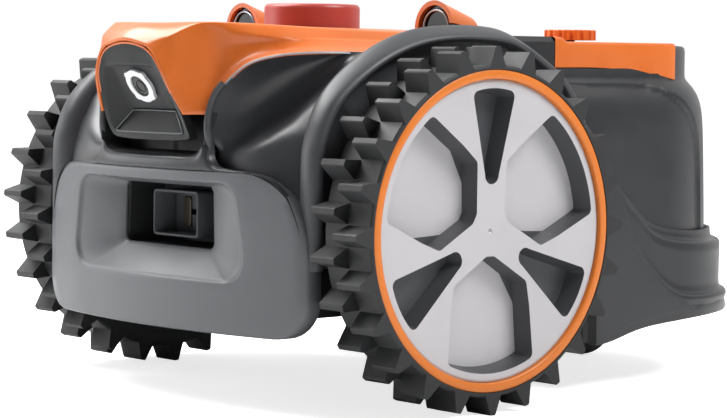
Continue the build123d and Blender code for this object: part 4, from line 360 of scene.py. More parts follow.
def front_panel():
    """Front panel with its funnel, the socket behind it and the frame round the contacts."""
    outline = rounded_loop(((-151.5, -73), (151.5, -73), (151.5, 37), (-151.5, 37)), (26, 26, 52, 52), 10, 8)
    mouth = rounded_loop(((-104, -39), (104, -39), (91, 32), (-91, 32)), (19, 19, 17, 17), 10, 8)
    throat = rounded_loop(((-54.5, -19), (54.5, -19), (53, 28), (-53, 28)), (7, 7, 6, 6), 10, 8)

    def wall(t):
        return lambda p: THROAT_Y + (bow(p.x) + 1.3 - THROAT_Y) * t

    loops = [throat, between(throat, mouth, 0.02)]
    depths = [lambda p: THROAT_Y + 1.0, wall(0.02)]
    for step in range(1, 8):
        t = step / 8
        loops.append(between(throat, mouth, t))
        depths.append(wall(t))
    loops += [between(throat, mouth, 0.985), between(throat, mouth, 1.0),
              between(mouth, outline, 0.02), between(mouth, outline, 0.04)]
    depths += [wall(0.985), lambda p: bow(p.x) + 0.6, lambda p: bow(p.x) + 0.12, lambda p: bow(p.x)]
    for step in range(1, 6):
        loops.append(between(mouth, outline, 0.04 + 0.94 * step / 6))
        depths.append(lambda p: bow(p.x))
    loops += [between(mouth, outline, 0.985), outline, outline]
    depths += [lambda p: bow(p.x), lambda p: bow(p.x) + 1.0, lambda p: bow(p.x) + 12]
    bm = grid_mesh([rings(loops, depths)], mirrored=False, closed=True)
    piece("front_panel_shell", bm, PANEL, "body", ("front_panel",), wall=1.6, angle=50)
    narrow = [p * 0.9 + Vector((0, 0.6)) for p in throat]
    tunnel = [rings([between(throat, narrow, t)], [lambda p, y=y: y])[0]
              for t, y in ((0, THROAT_Y + 1.0), (0.1, THROAT_Y + 4.0), (0.6, THROAT_Y + 20),
                           (1.0, SOCKET_END))]
    bm = grid_mesh([tunnel], mirrored=False, closed=True)
    end = [v for v in bm.verts if abs(v.co.y - at(0, SOCKET_END, 0).y) < 1e-6]
    bmesh.ops.contextual_create(bm, geom=list({e for v in end for e in v.link_edges
                                               if e.other_vert(v) in end}))
    piece("dock_tunnel", bm, BLACK, "body", ("dock_socket",), wall=1.2, angle=50)
    block = [[Vector((x, y, z)) for x, z in rounded_box(0, BLOCK_Z, half, half - BLOCK_WIDER, radius)]
             for half, radius, y in BLOCK_RINGS]
    piece("contact_block", grid_mesh([block], mirrored=False, closed=True, flip=True), KEY, "body", angle=40)


# ---------------------------------------------------------------- cheeks and scoops
CHEEK_ROWS = (
    (-30, ((136, -117), (138, -117), (140, -117), (142, -116.5), (144, -116), (146, -115), (148, -113))),
    (0, ((132, -120), (135, -119.7), (137, -119), (139, -118), (141, -116.5), (143, -114.5), (145, -112))),
    (20, ((124, -122), (128, -121.5), (131, -121), (134, -120), (137, -117.5), (140, -115), (143, -112))),
    (32, ((100, -125), (108, -124.5), (115, -124), (122, -123), (129, -120.5), (136, -116), (141.5, -111.5))),
    (40, ((66, -127.5), (78, -127.2), (90, -126.5), (103, -125), (116, -122.5), (129, -118), (141, -111))),
    (48, ((63, -127), (75, -126.8), (88, -126), (102, -124.5), (116, -121.5), (129, -117), (141, -110))),
    (53, ((63.5, -128), (72, -126), (84, -125.8), (98, -124), (113, -120.5), (128, -115.5), (140.5, -109))),
    (60, ((64, -133), (70, -121), (80, -117), (97, -122.5), (112, -119), (127, -113.5), (140, -107.5))),
    (68, ((63, -135), (70, -115), (80, -108.5), (95, -108.5), (110.5, -116), (126, -110.5), (140, -105))),
    (76, ((62.5, -135.6), (71, -110), (82, -102), (96, -99.5), (110, -102), (120, -106), (139.5, -101))),
    (86, ((64.5, -133.5), (74, -106), (86, -95), (99, -91), (112, -91.5), (124, -99.5), (139.5, -96))),
    (95, ((67.5, -130.5), (79, -101), (91, -90), (103, -85.5), (115, -84.5), (127, -88), (139, -89.5))),
    (104, ((74, -126), (85, -98), (96, -86), (107, -80), (118, -77.5), (128, -78), (139, -81))),
    (111, ((80.5, -121), (90, -97), (100, -84), (111, -76), (121, -72), (130, -71), (139, -73.5))),
    (117, ((90, -113.5), (98, -95), (107, -81), (116, -71.5), (124, -65.5), (131, -63), (139, -67))),
    (121, ((102, -102), (108, -90), (115, -77), (121, -66), (127, -58), (133, -55.5), (139, -62))),
    (122.7, ((117, -83), (120, -74), (123, -64), (126, -55), (130, -48), (134, -47), (139, -60))),
)
CHEEK_ROUNDS = 16


def cheeks():
    """Dark skin beside the hood, with a scoop on each side and the gutter along the hood's seam."""
    rows = [[(x, y, z) for x, y in row] for z, row in CHEEK_ROWS]
    gutter = [[(123, -52, 122.4), (126, -50, 122.2), (130, -48, 122.4)],
              [(124, 0, 122.2), (126, 0, 122), (130, 0, 122.2)],
              [(124, 62, 121), (126, 62, 121), (130, 62, 121)]]
    bm = grid_mesh([relax(lattice(rows, 6, 5), CHEEK_ROUNDS), lattice(gutter, 2, 4)])
    return piece("front_shell_skin", bm, DARK, "body", ("front_shell",), angle=60)


# ---------------------------------------------------------------- nose band round the panel and the pocket
def band():
    """Dark band round the front panel, with the posts beside the pocket."""
    pairs = [((0, 38), (0, -141, 49)), ((25, 38), (25, -141, 49)), ((45, 38), (45, -140, 49)),
             ((54, 38), (54.5, -139.5, 51)), ((60, 38), (60.5, -139, 57)), ((64, 38), (63.2, -136.5, 55)),
             ((66.5, 37.9), (64.6, -136.9, 48.5)), ((71, 37.9), (70, -136.6, 42.8)),
             ((82, 37.8), (82, -135.8, 40.6)), ((100, 37.6), (100, -134, 39.6)),
             ((113, 36.2), (115, -132.1, 37.6)), ((122, 33), (125, -130.3, 33.8)),
             ((131, 27.5), (133, -128.4, 27.5)), ((138, 20.5), (140.5, -126.2, 17.5)),
             ((144, 10), (146, -124.2, 4)), ((148.5, -1), (149.6, -122.2, -9)),
             ((151, -12), (151.6, -121, -18)), ((152.2, -26), (152.9, -120.2, -26))]
    rows = []
    for (x, z), (gx, gy, gz) in pairs:
        rows.append([
            (x, bow(x) + 5, z), (x, bow(x) + 0.9, z + 0.1)]
            + [(x + (gx - x) * t, bow(x + (gx - x) * t) + sink + (gy - bow(gx)) * t ** 3 * fall,
                z + (gz - z) * t)
               for t, sink, fall in ((0.1, 0.1, 0), (0.4, -0.1, 0.3), (0.75, 0.0, 0.6), (0.92, 0.3, 0.9))]
            + [(gx, gy, gz), (gx + 0.1, gy + 5, gz - 0.3)])
    post = [
        [(60.5, -139.0, 57), (61.4, -139.9, 57), (62.4, -139.2, 57), (63.2, -136.5, 56), (63.4, -131, 56)],
        [(61.4, -138.6, 64), (62.2, -139.4, 64), (63.0, -138.4, 64), (63.4, -135.2, 64), (63.5, -130, 64)],
        [(62.8, -137.8, 73), (63.4, -138.4, 73), (63.9, -137.2, 73), (63.9, -134.6, 73), (64, -129, 73)],
        [(63.6, -137.0, 78), (64.2, -137.4, 78), (64.6, -136, 78), (64.6, -134.4, 79), (64.8, -128, 79)]]
    bm = grid_mesh([lattice(rows, 2, 3), lattice(post, 4, 4)])
    return piece("nose_band", bm, DARK, "body", angle=60)


def pocket():
    """Black recess under the camera, open at the top."""
    edge = [(64.0, 78), (62.8, 70), (61.3, 63), (60.3, 57), (57.5, 52.5), (53.5, 50), (48, 49), (24, 49),
            (0, 49)]
    rows = []
    for x, z in edge:
        rows.append([(x, bow(x) + 0.8, z), (x - 0.6, bow(x) + 3, z + 0.5), (x - 1.5, bow(x) + 8, z + 1),
                     (x - 3, -118, z + 2)])
    floor_rows = [[(x - 3, -118, z + 2), ((x - 3) / 2, -117.5, (z + 2) / 2 + 40), (0, -117, 80)]
                  for x, z in edge]
    bm = grid_mesh([lattice(rows, 3, 3), lattice(floor_rows, 3, 3)])
    return piece("camera_pocket", bm, BLACK, "body", angle=50)


# ---------------------------------------------------------------- orange top cover
HOOD_ROWS = (
    ((0, -165, 130.5), (24, -163.9, 126.3), (31, -163.3, 121.5), (36.5, -162, 114), (41, -160, 105),
     (45, -155, 91), (49, -148.7, 77.7)),
    ((0, -152, 140), (40, -155, 132.5), (43, -151.5, 130), (44.5, -151, 123), (46, -150, 114),
     (49, -147.5, 98), (56, -142, 78)),
    ((0, -138, 142), (50, -138.5, 141.5), (53, -136, 137), (53.5, -136.5, 129), (54, -137, 120),
     (56, -137, 100), (62, -136, 79)),
    ((0, -128, 142.4), (58, -131, 142.6), (61, -126.5, 137.3), (60.5, -126.2, 130), (60, -126, 122),
     (60.5, -126.5, 107), (66, -131.7, 93)),
    ((0, -116, 142.4), (66, -120, 142.4), (71, -119, 135.3), (70.5, -118.5, 131), (70, -118, 126),
     (70.5, -120, 114), (74, -126, 104)),
    ((0, -102, 142.2), (76, -107, 142), (82, -110, 133.8), (81.5, -109.5, 131), (81, -109, 128),
     (82, -112, 120.5), (85, -118, 114.6)),
    ((0, -84, 142), (86, -90, 141), (92, -97, 132.5), (92.5, -96.5, 131), (93, -96, 129), (95.5, -99, 124),
     (100, -104, 120.4)),
    ((0, -58, 141.8), (93, -62, 139.8), (99, -72, 132.5), (101, -72, 131.5), (103, -73, 130),
     (109, -77, 126), (117, -83, 122.7)),
    ((0, -36, 141.6), (97, -38, 139), (104, -38, 131.8), (106.5, -40, 131), (109, -41, 129.5),
     (115, -46, 126), (123, -52, 122.7)),
    ((0, -11, 141.4), (99.5, -12, 138.2), (106, -5, 131.3), (108.5, -5, 130.5), (111, -4, 129),
     (117, -2, 126), (124, 0, 122.5)),
    ((0, 25, 141.2), (100, 26, 137.6), (106.5, 28, 130.7), (109, 28, 130), (111.5, 29, 128.5),
     (117.5, 30, 125.5), (124, 30, 121.8)),
    ((0, 61.8, 141), (100, 61.8, 137), (107, 61.8, 130), (109.5, 61.8, 129.3), (112, 61.8, 128),
     (118, 61.8, 125), (124, 61.8, 121)),
)


STOP_PLACE = (0, 9.5, 142)          # the stop button's well in the hood
STOP_RADIUS, STOP_EDGE = 36.6, 6
NEAR_SKIN = 12                      # how far above or below the hole its faces may lie
NEAR_RIM = 1.35                     # how far out the cut edge may lie, as a share of the radius


def open_round(bm, x, y, z, radius, depth):
    """Round hole through a nearly level skin, with a short wall down from its edge."""
    middle = at(x, y, z)
    reach = radius * MM
    inside = [f for f in bm.faces if (f.calc_center_median() - middle).xy.length < reach
              and abs(f.calc_center_median().z - middle.z) < NEAR_SKIN * MM]
    bmesh.ops.delete(bm, geom=inside, context="FACES")
    rim = [e for e in bm.edges if len(e.link_faces) == 1
           and (e.verts[0].co - middle).xy.length < reach * NEAR_RIM
           and (e.verts[1].co - middle).xy.length < reach * NEAR_RIM]
    low = {}
    for vert in [v for e in rim for v in e.verts]:
        if vert not in low:
            away = (vert.co - middle).xy.normalized() * reach
            vert.co.x, vert.co.y = middle.x + away.x, middle.y + away.y
            low[vert] = bm.verts.new(vert.co - Vector((0, 0, depth * MM)))
    for edge in rim:
        start = edge.link_loops[0].vert
        end = edge.other_vert(start)
        bm.faces.new((end, start, low[start], low[end]))


def hood():
    """Orange cover over the nose and the middle, with the stop button's well."""
    grid = lattice(HOOD_ROWS, 7, 6, tight={1: 2.5, 2: 2.5}, level=True)
    bm = grid_mesh([grid])
    open_round(bm, *STOP_PLACE, STOP_RADIUS, STOP_EDGE)
    return piece("top_cover_shell", bm, ORANGE, "body", ("top_cover",), wall=2.0, angle=32)


# ---------------------------------------------------------------- camera bay, beads and lamps
ARM = ((72, -130.5, 100), (68.6, -133.4, 95), (65.4, -135.6, 87), (63.4, -137.2, 77), (63.0, -137.6, 68),
       (63.0, -136.2, 60), (61, -132.4, 53), (55, -129.4, 48.6), (46, -129.6, 46))
MOUTH_RIM_ROWS = 6
WALL_LEAN = 34.2                    # degrees by which the lens wall's top leans forward
WALL_FOOT = (-136, 80)              # y and z of its foot
WALL_SLOPE = 0.68                   # how far forward it comes for each unit of height
WALL_HALF, WALL_LOW, WALL_HIGH = 25.9, 79.5, 111.2
WALL_MIDDLE_Z = 95
WALL_NEAR = 0.6
LENS_MIDDLE = (0, -147.9, 97.6)
VISOR_RINGS = (
    ((0, -163.6, 127.6), (0, -160.4, 112.6), (0, -157.0, 110.6)),
    ((20, -162.8, 124.6), (20, -159.8, 112.2), (15, -156.9, 110.5)),
    ((29.2, -162, 119.6), (28.6, -159.2, 110.6), (22.4, -156.4, 109.9)),
    ((34.2, -160.8, 113.4), (32.3, -158.4, 106.6), (24.1, -153.8, 106.1)),
    ((38.6, -158.8, 105), (34.6, -157, 102.6), (24.4, -150, 100.6)),
    ((42.2, -154.2, 92.5), (38.6, -151.8, 90.5), (25, -142.8, 90)),
    ((46, -148.4, 79.5), (42.2, -146.6, 76.8), (25.5, -137, 81.4)),
    ((46.8, -144, 69), (43.2, -143.8, 69.6), (25.6, -136.4, 80.6)),
    ((45.4, -140, 61.2), (41, -141.4, 63.9), (25.1, -136, 80)),
    ((34, -139.9, 59.2), (34, -141.6, 63.4), (19, -136, 80)),
    ((0, -140.3, 58.6), (0, -141.9, 63.4), (0, -136, 80)),
)


def visor():
    """Dark funnel in the hood's mouth: forehead, side walls, chin and the wall with the lens."""
    rows = []
    for outer, edge, inner in VISOR_RINGS:
        outer, edge, inner = Vector(outer), Vector(edge), Vector(inner)
        rows.append([outer + Vector((0, 7, 0)), outer, outer.lerp(edge, 0.5), edge.lerp(outer, 0.08),
                     edge.lerp(inner, 0.06), edge.lerp(inner, 0.5), inner])
    bm = grid_mesh([lattice(rows, 2, 4)])
    foot_y, foot_z = WALL_FOOT
    foot = at(0, foot_y, foot_z)
    wall = sorted((v for v in bm.verts if v.is_boundary and v.co.z < at(0, 0, WALL_HIGH).z
                   and v.co.z > at(0, 0, WALL_LOW).z and abs(v.co.x) < WALL_HALF * MM
                   and abs((v.co.y - foot.y) + (v.co.z - foot.z) * WALL_SLOPE) < WALL_NEAR * MM),
                  key=lambda v: math.atan2(v.co.x, v.co.z - at(0, 0, WALL_MIDDLE_Z).z))
    bmesh.ops.triangulate(bm, faces=[bm.faces.new(wall)])
    bmesh.ops.recalc_face_normals(bm, faces=bm.faces)
    return piece("camera_visor_shell", bm, VISOR, "body", ("camera_visor",), angle=35)


def tube(name, points, radius, material, body="body", steps=5, sides=8, closed=False, tight=None,
         level=(0.03, 0.05, 1)):
    """Thin round bead along a smooth line that nowhere runs in the level direction."""
    line = spline(points, steps, tight)
    if closed:
        line = line[:-1]
    count = len(line)
    grid = []
    for i, p in enumerate(line):
        ahead = line[(i + 1) % count] if closed else line[min(i + 1, count - 1)]
        behind = line[i - 1] if closed or i else line[0]
        along = (ahead - behind).normalized()
        side = along.cross(Vector(level)).normalized()
        lift = side.cross(along)
        grid.append([p + (side * math.cos(a) + lift * math.sin(a)) * radius
                     for a in [2 * math.pi * k / sides for k in range(sides)]])
    if closed:
        grid.append(grid[0])
    bm = grid_mesh([grid], mirrored=False, closed=True)
    if not closed:
        bmesh.ops.holes_fill(bm, edges=bm.edges)
    bmesh.ops.recalc_face_normals(bm, faces=bm.faces)
    return piece(name, bm, material, body, angle=80)


def lens_stack():
    """Black glass with two fine rings, on the sloping wall inside the white lobed ring."""
    across = Vector((1, 0, 0))
    rise = Vector((0, -math.sin(math.radians(WALL_LEAN)), math.cos(math.radians(WALL_LEAN))))
    front = across.cross(rise)
    middle = Vector(LENS_MIDDLE)
    for name, radius, wire, lift in (("lens_collar", 8.3, 0.8, 0.8), ("lens_barrel", 4.6, 0.6, 1.4)):
        loop = [middle + front * lift + across * radius * math.cos(a) + rise * radius * math.sin(a)
                for a in [2 * math.pi * k / 32 for k in range(33)]]
        tube(name, loop, wire, HUB, steps=1, closed=True)
    dome = [[middle + front * lift + across * radius * math.cos(a) + rise * radius * math.sin(a)
             for a in [2 * math.pi * k / 32 for k in range(33)]]
            for radius, lift in ((8.0, 0.3), (7.8, 0.8), (4.8, 0.9), (4.2, 1.1), (2.0, 1.4), (0.05, 1.5))]
    bm = grid_mesh([dome], mirrored=False)
    bmesh.ops.recalc_face_normals(bm, faces=bm.faces)
    piece("lens_glass_dome", bm, LENS, "body", angle=50)


POD_X, POD_Z = 112, 140.5


def lamp_rings():
    """Two steel rings in the mouth of each lamp pod."""
    for name, side in (("left", 1), ("right", -1)):
        for tag, radius, y, wire in (("ring", 13.4, 33.5, 1.1), ("bezel", 8.2, 36.2, 0.9)):
            loop = [(side * POD_X + radius * math.cos(a), y, POD_Z + radius * math.sin(a))
                    for a in [2 * math.pi * k / 24 for k in range(25)]]
            tube(f"{name}_lamp_{tag}", loop, wire, STEEL, steps=2, closed=True)


RING_SECTION = ((112, 200), (112, 209.6), (111.7, 210.4), (111, 210.8), (106.3, 210.8), (105.5, 210.5),
                (105.2, 209.8), (105.2, 204))


def rim_ring(side, name):
    """Orange ring round the hub cap, standing a little proud of it."""
    grid = []
    for k in range(145):
        a = 2 * math.pi * k / 144
        grid.append([Vector((side * x, r * math.cos(a), r * math.sin(a))) for r, x in RING_SECTION])
    bm = grid_mesh([grid], mirrored=False)
    bmesh.ops.recalc_face_normals(bm, faces=bm.faces)
    return piece(f"{name}_ring_shell", bm, RING, f"{name}_wheel", (f"{name}_rim_ring",), angle=50)


def seam_ridge():
    """Thin ridge that runs along the hood's lower seam; its light grey is a painted highlight on the seam's
    edge.
    """
    line = spline([(66.5, -131.9, 91.5), (74.5, -126.4, 102.6), (85.5, -118.6, 113.2), (100.5, -104.6, 119),
                   (117.5, -83.4, 121.3), (123.6, -52, 121.4), (124.6, 0, 121.2), (124.6, 60, 119.8)], 8)
    grid = []
    for i, p in enumerate(line):
        along = (line[min(i + 1, len(line) - 1)] - line[max(i - 1, 0)]).normalized()
        out = along.cross(Vector((0, 0, 1))).normalized()
        out = out if out.x > 0 else -out
        lift = out.cross(along).normalized()
        grid.append([p + out * 1.5 * math.cos(a) + lift * 1.5 * math.sin(a)
                     for a in [math.pi * k / 6 for k in range(7)]])
    return piece("seam_ridge", grid_mesh([grid]), SEAM_HIGHLIGHT, "body", angle=60)


# ---------------------------------------------------------------- fenders
FENDER_LINE = ((-120, -26), (-120, 2), (-120, 38), (-119, 56), (-116, 67), (-112, 78), (-105, 90), (-95, 101),
               (-78, 114), (-53, 128), (-28, 137), (-7, 141), (26, 143), (62, 141), (79, 136), (104, 123),
               (123, 110), (140, 88), (150, 62), (155, 35), (157, 5), (157, -26))
LIP_X = (128, 131, 134, 137, 140, 143.5, 147, 151, 155, 157.6, 158.9, 159, 158, 155.5, 151, 148.2, 147)
LIP_FRONT = (22, 15.5, 10, 5.8, 3, 1.2, 0.3, 0, 0.6, 2.2, 4.6, 7, 8.8, 9.8, 10.2, 10.8, 12.4)
LIP_TOP = (22, 13, 6.5, 2.5, 0.4, 0, 1.2, 3.1, 5.2, 6.8, 8.4, 9.8, 10.8, 11.4, 11.7, 12, 12.4)


WEB_X = 147
AXLE_SLOT = 22                      # half the width of the slot for the axle
FENDER_FOOT = -26


def fender(side, name):
    """Wheel arch: a lip that is flat in front and slopes outward on top, and the web behind it."""
    line = spline([(0, y, z) for y, z in FENDER_LINE], 6)
    rows = []
    for i, p in enumerate(line):
        along = (line[min(i + 1, len(line) - 1)] - line[max(i - 1, 0)]).normalized()
        inward = Vector((0, along.z, -along.y))
        share = max(along.y, 0) ** 2
        depths = [a + (b - a) * share for a, b in zip(LIP_FRONT, LIP_TOP)]
        rows.append([Vector((side * x, (p + inward * d).y, (p + inward * d).z))
                     for x, d in zip(LIP_X, depths)])
    bm = grid_mesh([rows], mirrored=False, flip=side < 0)
    web = [bm.verts.new(at(*row[-1])) for row in rows]
    slot = [(AXLE_SLOT, FENDER_FOOT), (AXLE_SLOT, 0)]
    slot += [(AXLE_SLOT * math.cos(a), AXLE_SLOT * math.sin(a))
             for a in [math.pi * k / 10 for k in range(1, 10)]]
    slot += [(-AXLE_SLOT, 0), (-AXLE_SLOT, FENDER_FOOT)]
    web += [bm.verts.new(at(side * WEB_X, y, z)) for y, z in slot]
    bm.faces.new(web)
    bmesh.ops.remove_doubles(bm, verts=bm.verts, dist=WELD * MM)
    bmesh.ops.triangulate(bm, faces=[f for f in bm.faces if len(f.verts) > 4])
    bmesh.ops.recalc_face_normals(bm, faces=bm.faces)
    # The fender takes the lighter copy of the dark plastic: painted sheen.
    return piece(f"{name}_fender_shell", bm, DARK_LIT, "body", (f"{name}_fender",), wall=0.0, angle=50)


# ---------------------------------------------------------------- rear body
LEDGE_HIGH = ((144, 62), (152, 50), (160, 36), (166, 28), (174, 19), (183, 10), (192, 3), (202, -6),
              (214, -14), (234, -19.5), (266, -22.5), (300, -23), (370, -23))
LEDGE_LOW = ((144, 58), (152, 45), (160, 31), (165, 22), (170.7, 11), (175.3, 1), (180, -10), (186, -20),
             (196, -31.6), (208, -42), (220, -52), (233, -58.7), (248, -62), (300, -62.5), (370, -62.5))
SKIRT_EDGE = ((144, -92), (159, -90), (192, -82.5), (237, -78.5), (278, -76.5), (370, -76.5))
REAR_START, REAR_HALF, REAR_BACK, REAR_RADIUS = 144, 172, 363.0, 118.0
LEDGE_FULL, LEDGE_LEAST = 24, 0.12  # height from which the ledge has its full curve, and the least share


def height_on(line, y):
    """Height of a line given as (y, z) points, at y."""
    for (y0, z0), (y1, z1) in zip(line, line[1:]):
        if y <= y1:
            t = max(0.0, (y - y0) / (y1 - y0))
            return z0 + (z1 - z0) * t
    return line[-1][1]


def smooth_line(line):
    """Fine line of (y, z) points through coarse ones."""
    return [(p.y, p.z) for p in spline([(0, y, z) for y, z in line], 6)]


def rear_plan(start, half, end, radius, sides=26, corner=26, back=8):
    """Places and outward directions round half of the rear body's plan."""
    plan = []
    for k in range(sides):
        plan.append((half, start + (end - radius - start) * k / sides, 1.0, 0.0))
    for k in range(corner + 1):
        a = math.pi / 2 * k / corner
        plan.append((half - radius + radius * math.cos(a), end - radius + radius * math.sin(a),
                     math.cos(a), math.sin(a)))
    for k in range(1, back + 1):
        plan.append(((half - radius) * (1 - k / back), end, 0.0, 1.0))
    return plan


def skirt():
    """Dark lower rear body with the swept ledge along its side."""
    high, low, edge = smooth_line(LEDGE_HIGH), smooth_line(LEDGE_LOW), smooth_line(SKIRT_EDGE)
    rows = []
    for x, y, nx, ny in rear_plan(REAR_START, REAR_HALF, REAR_BACK, REAR_RADIUS):
        z1, z2, z0 = height_on(high, y), height_on(low, y), height_on(edge, y)
        gap = min(1.0, max(LEDGE_LEAST, (z1 - z2) / LEDGE_FULL))
        steep = ((2.6, z0), (0.6, z0 + 0.1), (0, z0 + 1.2), (0, z0 + 8), (0, (z0 + z2) / 2), (0, z2 - 3),
                 (0.1, z2 - 1.2), (0.7, z2 - 0.3), (1.8, z2), (3.2, z2 + 0.3 * gap), (4.8, z2 + 1.6 * gap),
                 (5.8, z2 + 4.5 * gap), (6, z2 + 9 * gap), (6, z1 - 7 * gap), (6, z1 - 1.4 * gap),
                 (6.6, z1 - 0.4 * gap), (7.6, z1), (10, z1 + 0.3), (12.2, z1 + 1.8), (13.6, z1 + 5),
                 (14, z1 + 10))
        rows.append([Vector((max(0.0, x - nx * d) if nx else x, y - ny * d, z)) for d, z in steep])
    front = [[Vector((p.x - back, p.y, p.z)) for back in (0, 4, 12)] for p in rows[0]]
    bm = grid_mesh([rows, front])
    return piece("rear_skirt_shell", bm, DARK_REAR, "body", ("rear_skirt",), wall=1.6, angle=42)


def shell_front(z):
    """How far behind the axle the rear shell begins at a height: it follows the fender."""
    line = ((-30, 157), (5, 157), (35, 155), (62, 150), (88, 140), (110, 123), (123, 104), (130, 96))
    return height_on(line, z)


COVER_LOW = ((127, 113), (177, 113), (208, 110.8), (240, 107.8), (262, 104))
SHELL_HALF, SHELL_BACK, SHELL_RADIUS = 159.0, 345.0, 106.0
SHELL_START = 157                   # where its ledge begins, behind the axle
SHELL_BEND = 101                    # height at which the side turns into the shoulder
SHOULDER_IN = 18                    # how far in the shoulder reaches
COVER_END = 262                     # where the cover's straight side ends
SHELL_TOP = 126.5                   # foot of the plinth's edge
PANEL_DEPTH, PANEL_SOFT, PANEL_POWER = 2.6, 2.4, 2.6
SHOULDER = ((0, -25), (0.9, 10), (2.0, 45), (2.8, 66), (3.6, 76), (5.2, 85), (8, 92.5), (11.6, 98),
            (15, 101.8), (17, 104.2), (17.8, 106.5), (18, 110))


def panel_sink(u, z):
    """Depth of the recessed side panel, with its rounded upper rear corner."""
    across, rise = max(0.0, (u + 48) / 100), max(0.0, (z - 20) / 81.7)
    inside = (1 - (across ** PANEL_POWER + rise ** PANEL_POWER) ** (1 / PANEL_POWER)) * 85
    step = min(1.0, max(0.0, inside / PANEL_SOFT))
    return PANEL_DEPTH * step * step * (3 - 2 * step)


def rear_shell():
    """Dark upper rear body: sides with a recessed panel, a rounded shoulder and the plinth on top."""
    high, low = smooth_line(LEDGE_HIGH), smooth_line(COVER_LOW)
    shoulder = [(p.x, p.z) for p in spline([(d, 0, z) for d, z in SHOULDER], 4)]
    straight = SHELL_BACK - SHELL_RADIUS
    rows = []
    for x, y, nx, ny in rear_plan(0, SHELL_HALF, SHELL_BACK, SHELL_RADIUS, sides=52, corner=80, back=8):
        share = y / straight
        foot = height_on(high, SHELL_START + (straight - SHELL_START) * share if ny == 0 else y) + 2
        levels = [foot + (SHELL_BEND - foot) * k / 44 for k in range(45)] + [102, 103, 104, 105, 106.5, 109]
        over = y - ny * SHOULDER_IN > COVER_END or nx == 0
        top = SHELL_TOP if over else height_on(low, max(127.0, y)) - 0.4
        row = []
        for z in levels:
            d = height_on([(b, a) for a, b in shoulder], z)
            yy, u = y, y - straight
            if ny == 0:
                begin = shell_front(z)
                yy = begin + (straight - begin) * share
                u = yy - straight
            elif nx > 0:
                u = SHELL_RADIUS * math.atan2(ny, nx)
            d += panel_sink(u, z)
            row.append(Vector((x - nx * d, yy - ny * d, z)))
        cap = ((18, top), (18.4, top), (21, top), (26, top), (44, top))
        if over:
            cap = ((18, top), (18.6, top + 2.6), (20.5, top + 4), (26, top + 4.4), (44, top + 4.4))
        row += [Vector((x - nx * d, row[-1].y if ny == 0 else y - ny * d, z)) for d, z in cap]
        rows.append(row)
    return piece("rear_shell_skin", grid_mesh([rows]), DARK_REAR, "body", ("rear_shell",), angle=45)


COVER_CORNER = (139.6, 262.5)
COVER_BOW, COVER_BOW_POWER = 63.5, 1.15
COVER_TOP = 132.5
COVER_LIP, COVER_LIP_END, COVER_LIP_RUN = 3.4, 141.5, 6


def rear_cover():
    """Orange cover behind the bridge: straight sides, bowed rear edge, raised front lip."""
    low = smooth_line(COVER_LOW)
    edge = [(141, 127.4), (141, 131), (141, 134.5), (141, 138), (141, 141.5), (141, 147)]
    corner_x, corner_y = COVER_CORNER
    edge += [(141, 147 + 8 * k) for k in range(1, 14)] + [(140.8, 258.5), COVER_CORNER]
    edge += [(corner_x - corner_x * k / 16,
              corner_y + COVER_BOW * math.sin(math.pi / 2 * k / 16) ** COVER_BOW_POWER)
             for k in range(1, 17)]
    rows = []
    for i, (x, y) in enumerate(edge):
        before, after = edge[max(i - 1, 0)], edge[min(i + 1, len(edge) - 1)]
        n = Vector((after[1] - before[1], before[0] - after[0])).normalized()
        lip = COVER_LIP * min(1.0, max(0.0, (COVER_LIP_END - y) / COVER_LIP_RUN))
        foot = height_on(low, y)
        top = COVER_TOP + lip
        row = [Vector((x - n.x * d, y - n.y * d if y > 128 else y, z)) for d, z in (
            (3, foot + 1), (2.6, foot), (0.4, foot), (0, foot + 0.4), (0, (foot + top) / 2), (0, top - 2.6),
            (0.4, top - 1.2), (1.3, top - 0.3), (2.6, top), (5, top + 0.05))]
        row += [Vector(((x - n.x * 5) * (1 - k / 8), row[-1].y, top + 0.05)) for k in range(1, 9)]
        rows.append(row)
    return piece("rear_cover_shell", grid_mesh([rows]), ORANGE, "body", ("rear_cover",), angle=40)


front_panel()
cheeks()
band()
pocket()
hood()
seam_ridge()
visor()
tube("chin_bead", [(-25.8, -137, 79.4), (-40.6, -141.9, 64.2), (0, -142.3, 63.8), (40.6, -141.9, 64.2),
                   (25.8, -137, 79.4), (0, -137, 79.6), (-25.8, -137, 79.4)], 0.55, GREY,
     tight={1: 1.5, 3: 1.5, 4: 1, 5: 1}, closed=True)
# The band arms take the lighter copy of the dark plastic: painted highlight on the edge strip.
tube("band_arm_left", ARM, 2.6, DARK_LIT, sides=16, level=(1, 0.05, 0.03))
tube("band_arm_right", [(-x, y, z) for x, y, z in ARM], 2.6, DARK_LIT, sides=16, level=(1, 0.05, 0.03))
mouth_edge = [Vector(ring[0]) + Vector((0, 0.5, 0)) for ring in VISOR_RINGS[:MOUTH_RIM_ROWS]]
tube("hood_rim", [Vector((-p.x, p.y, p.z)) for p in mouth_edge[:0:-1]] + mouth_edge, 0.9, ORANGE)
lens_stack()
lamp_rings()
for name, side in (("left", 1), ("right", -1)):
    fender(side, name)
    rim_ring(side, name)
skirt()
rear_shell()
rear_cover()


# ---------------------------------------------------------------- stage, light and camera
FLOOR_GLOW = 0.75
GLOW_TOWARD = (-0.752, 0.659, 0.0)  # away from the camera, to the far side of the studio
GLOW_START, GLOW_FULL = -0.1, 0.7
GLOW_LOW, GLOW_HIGH = 0.12, 0.85


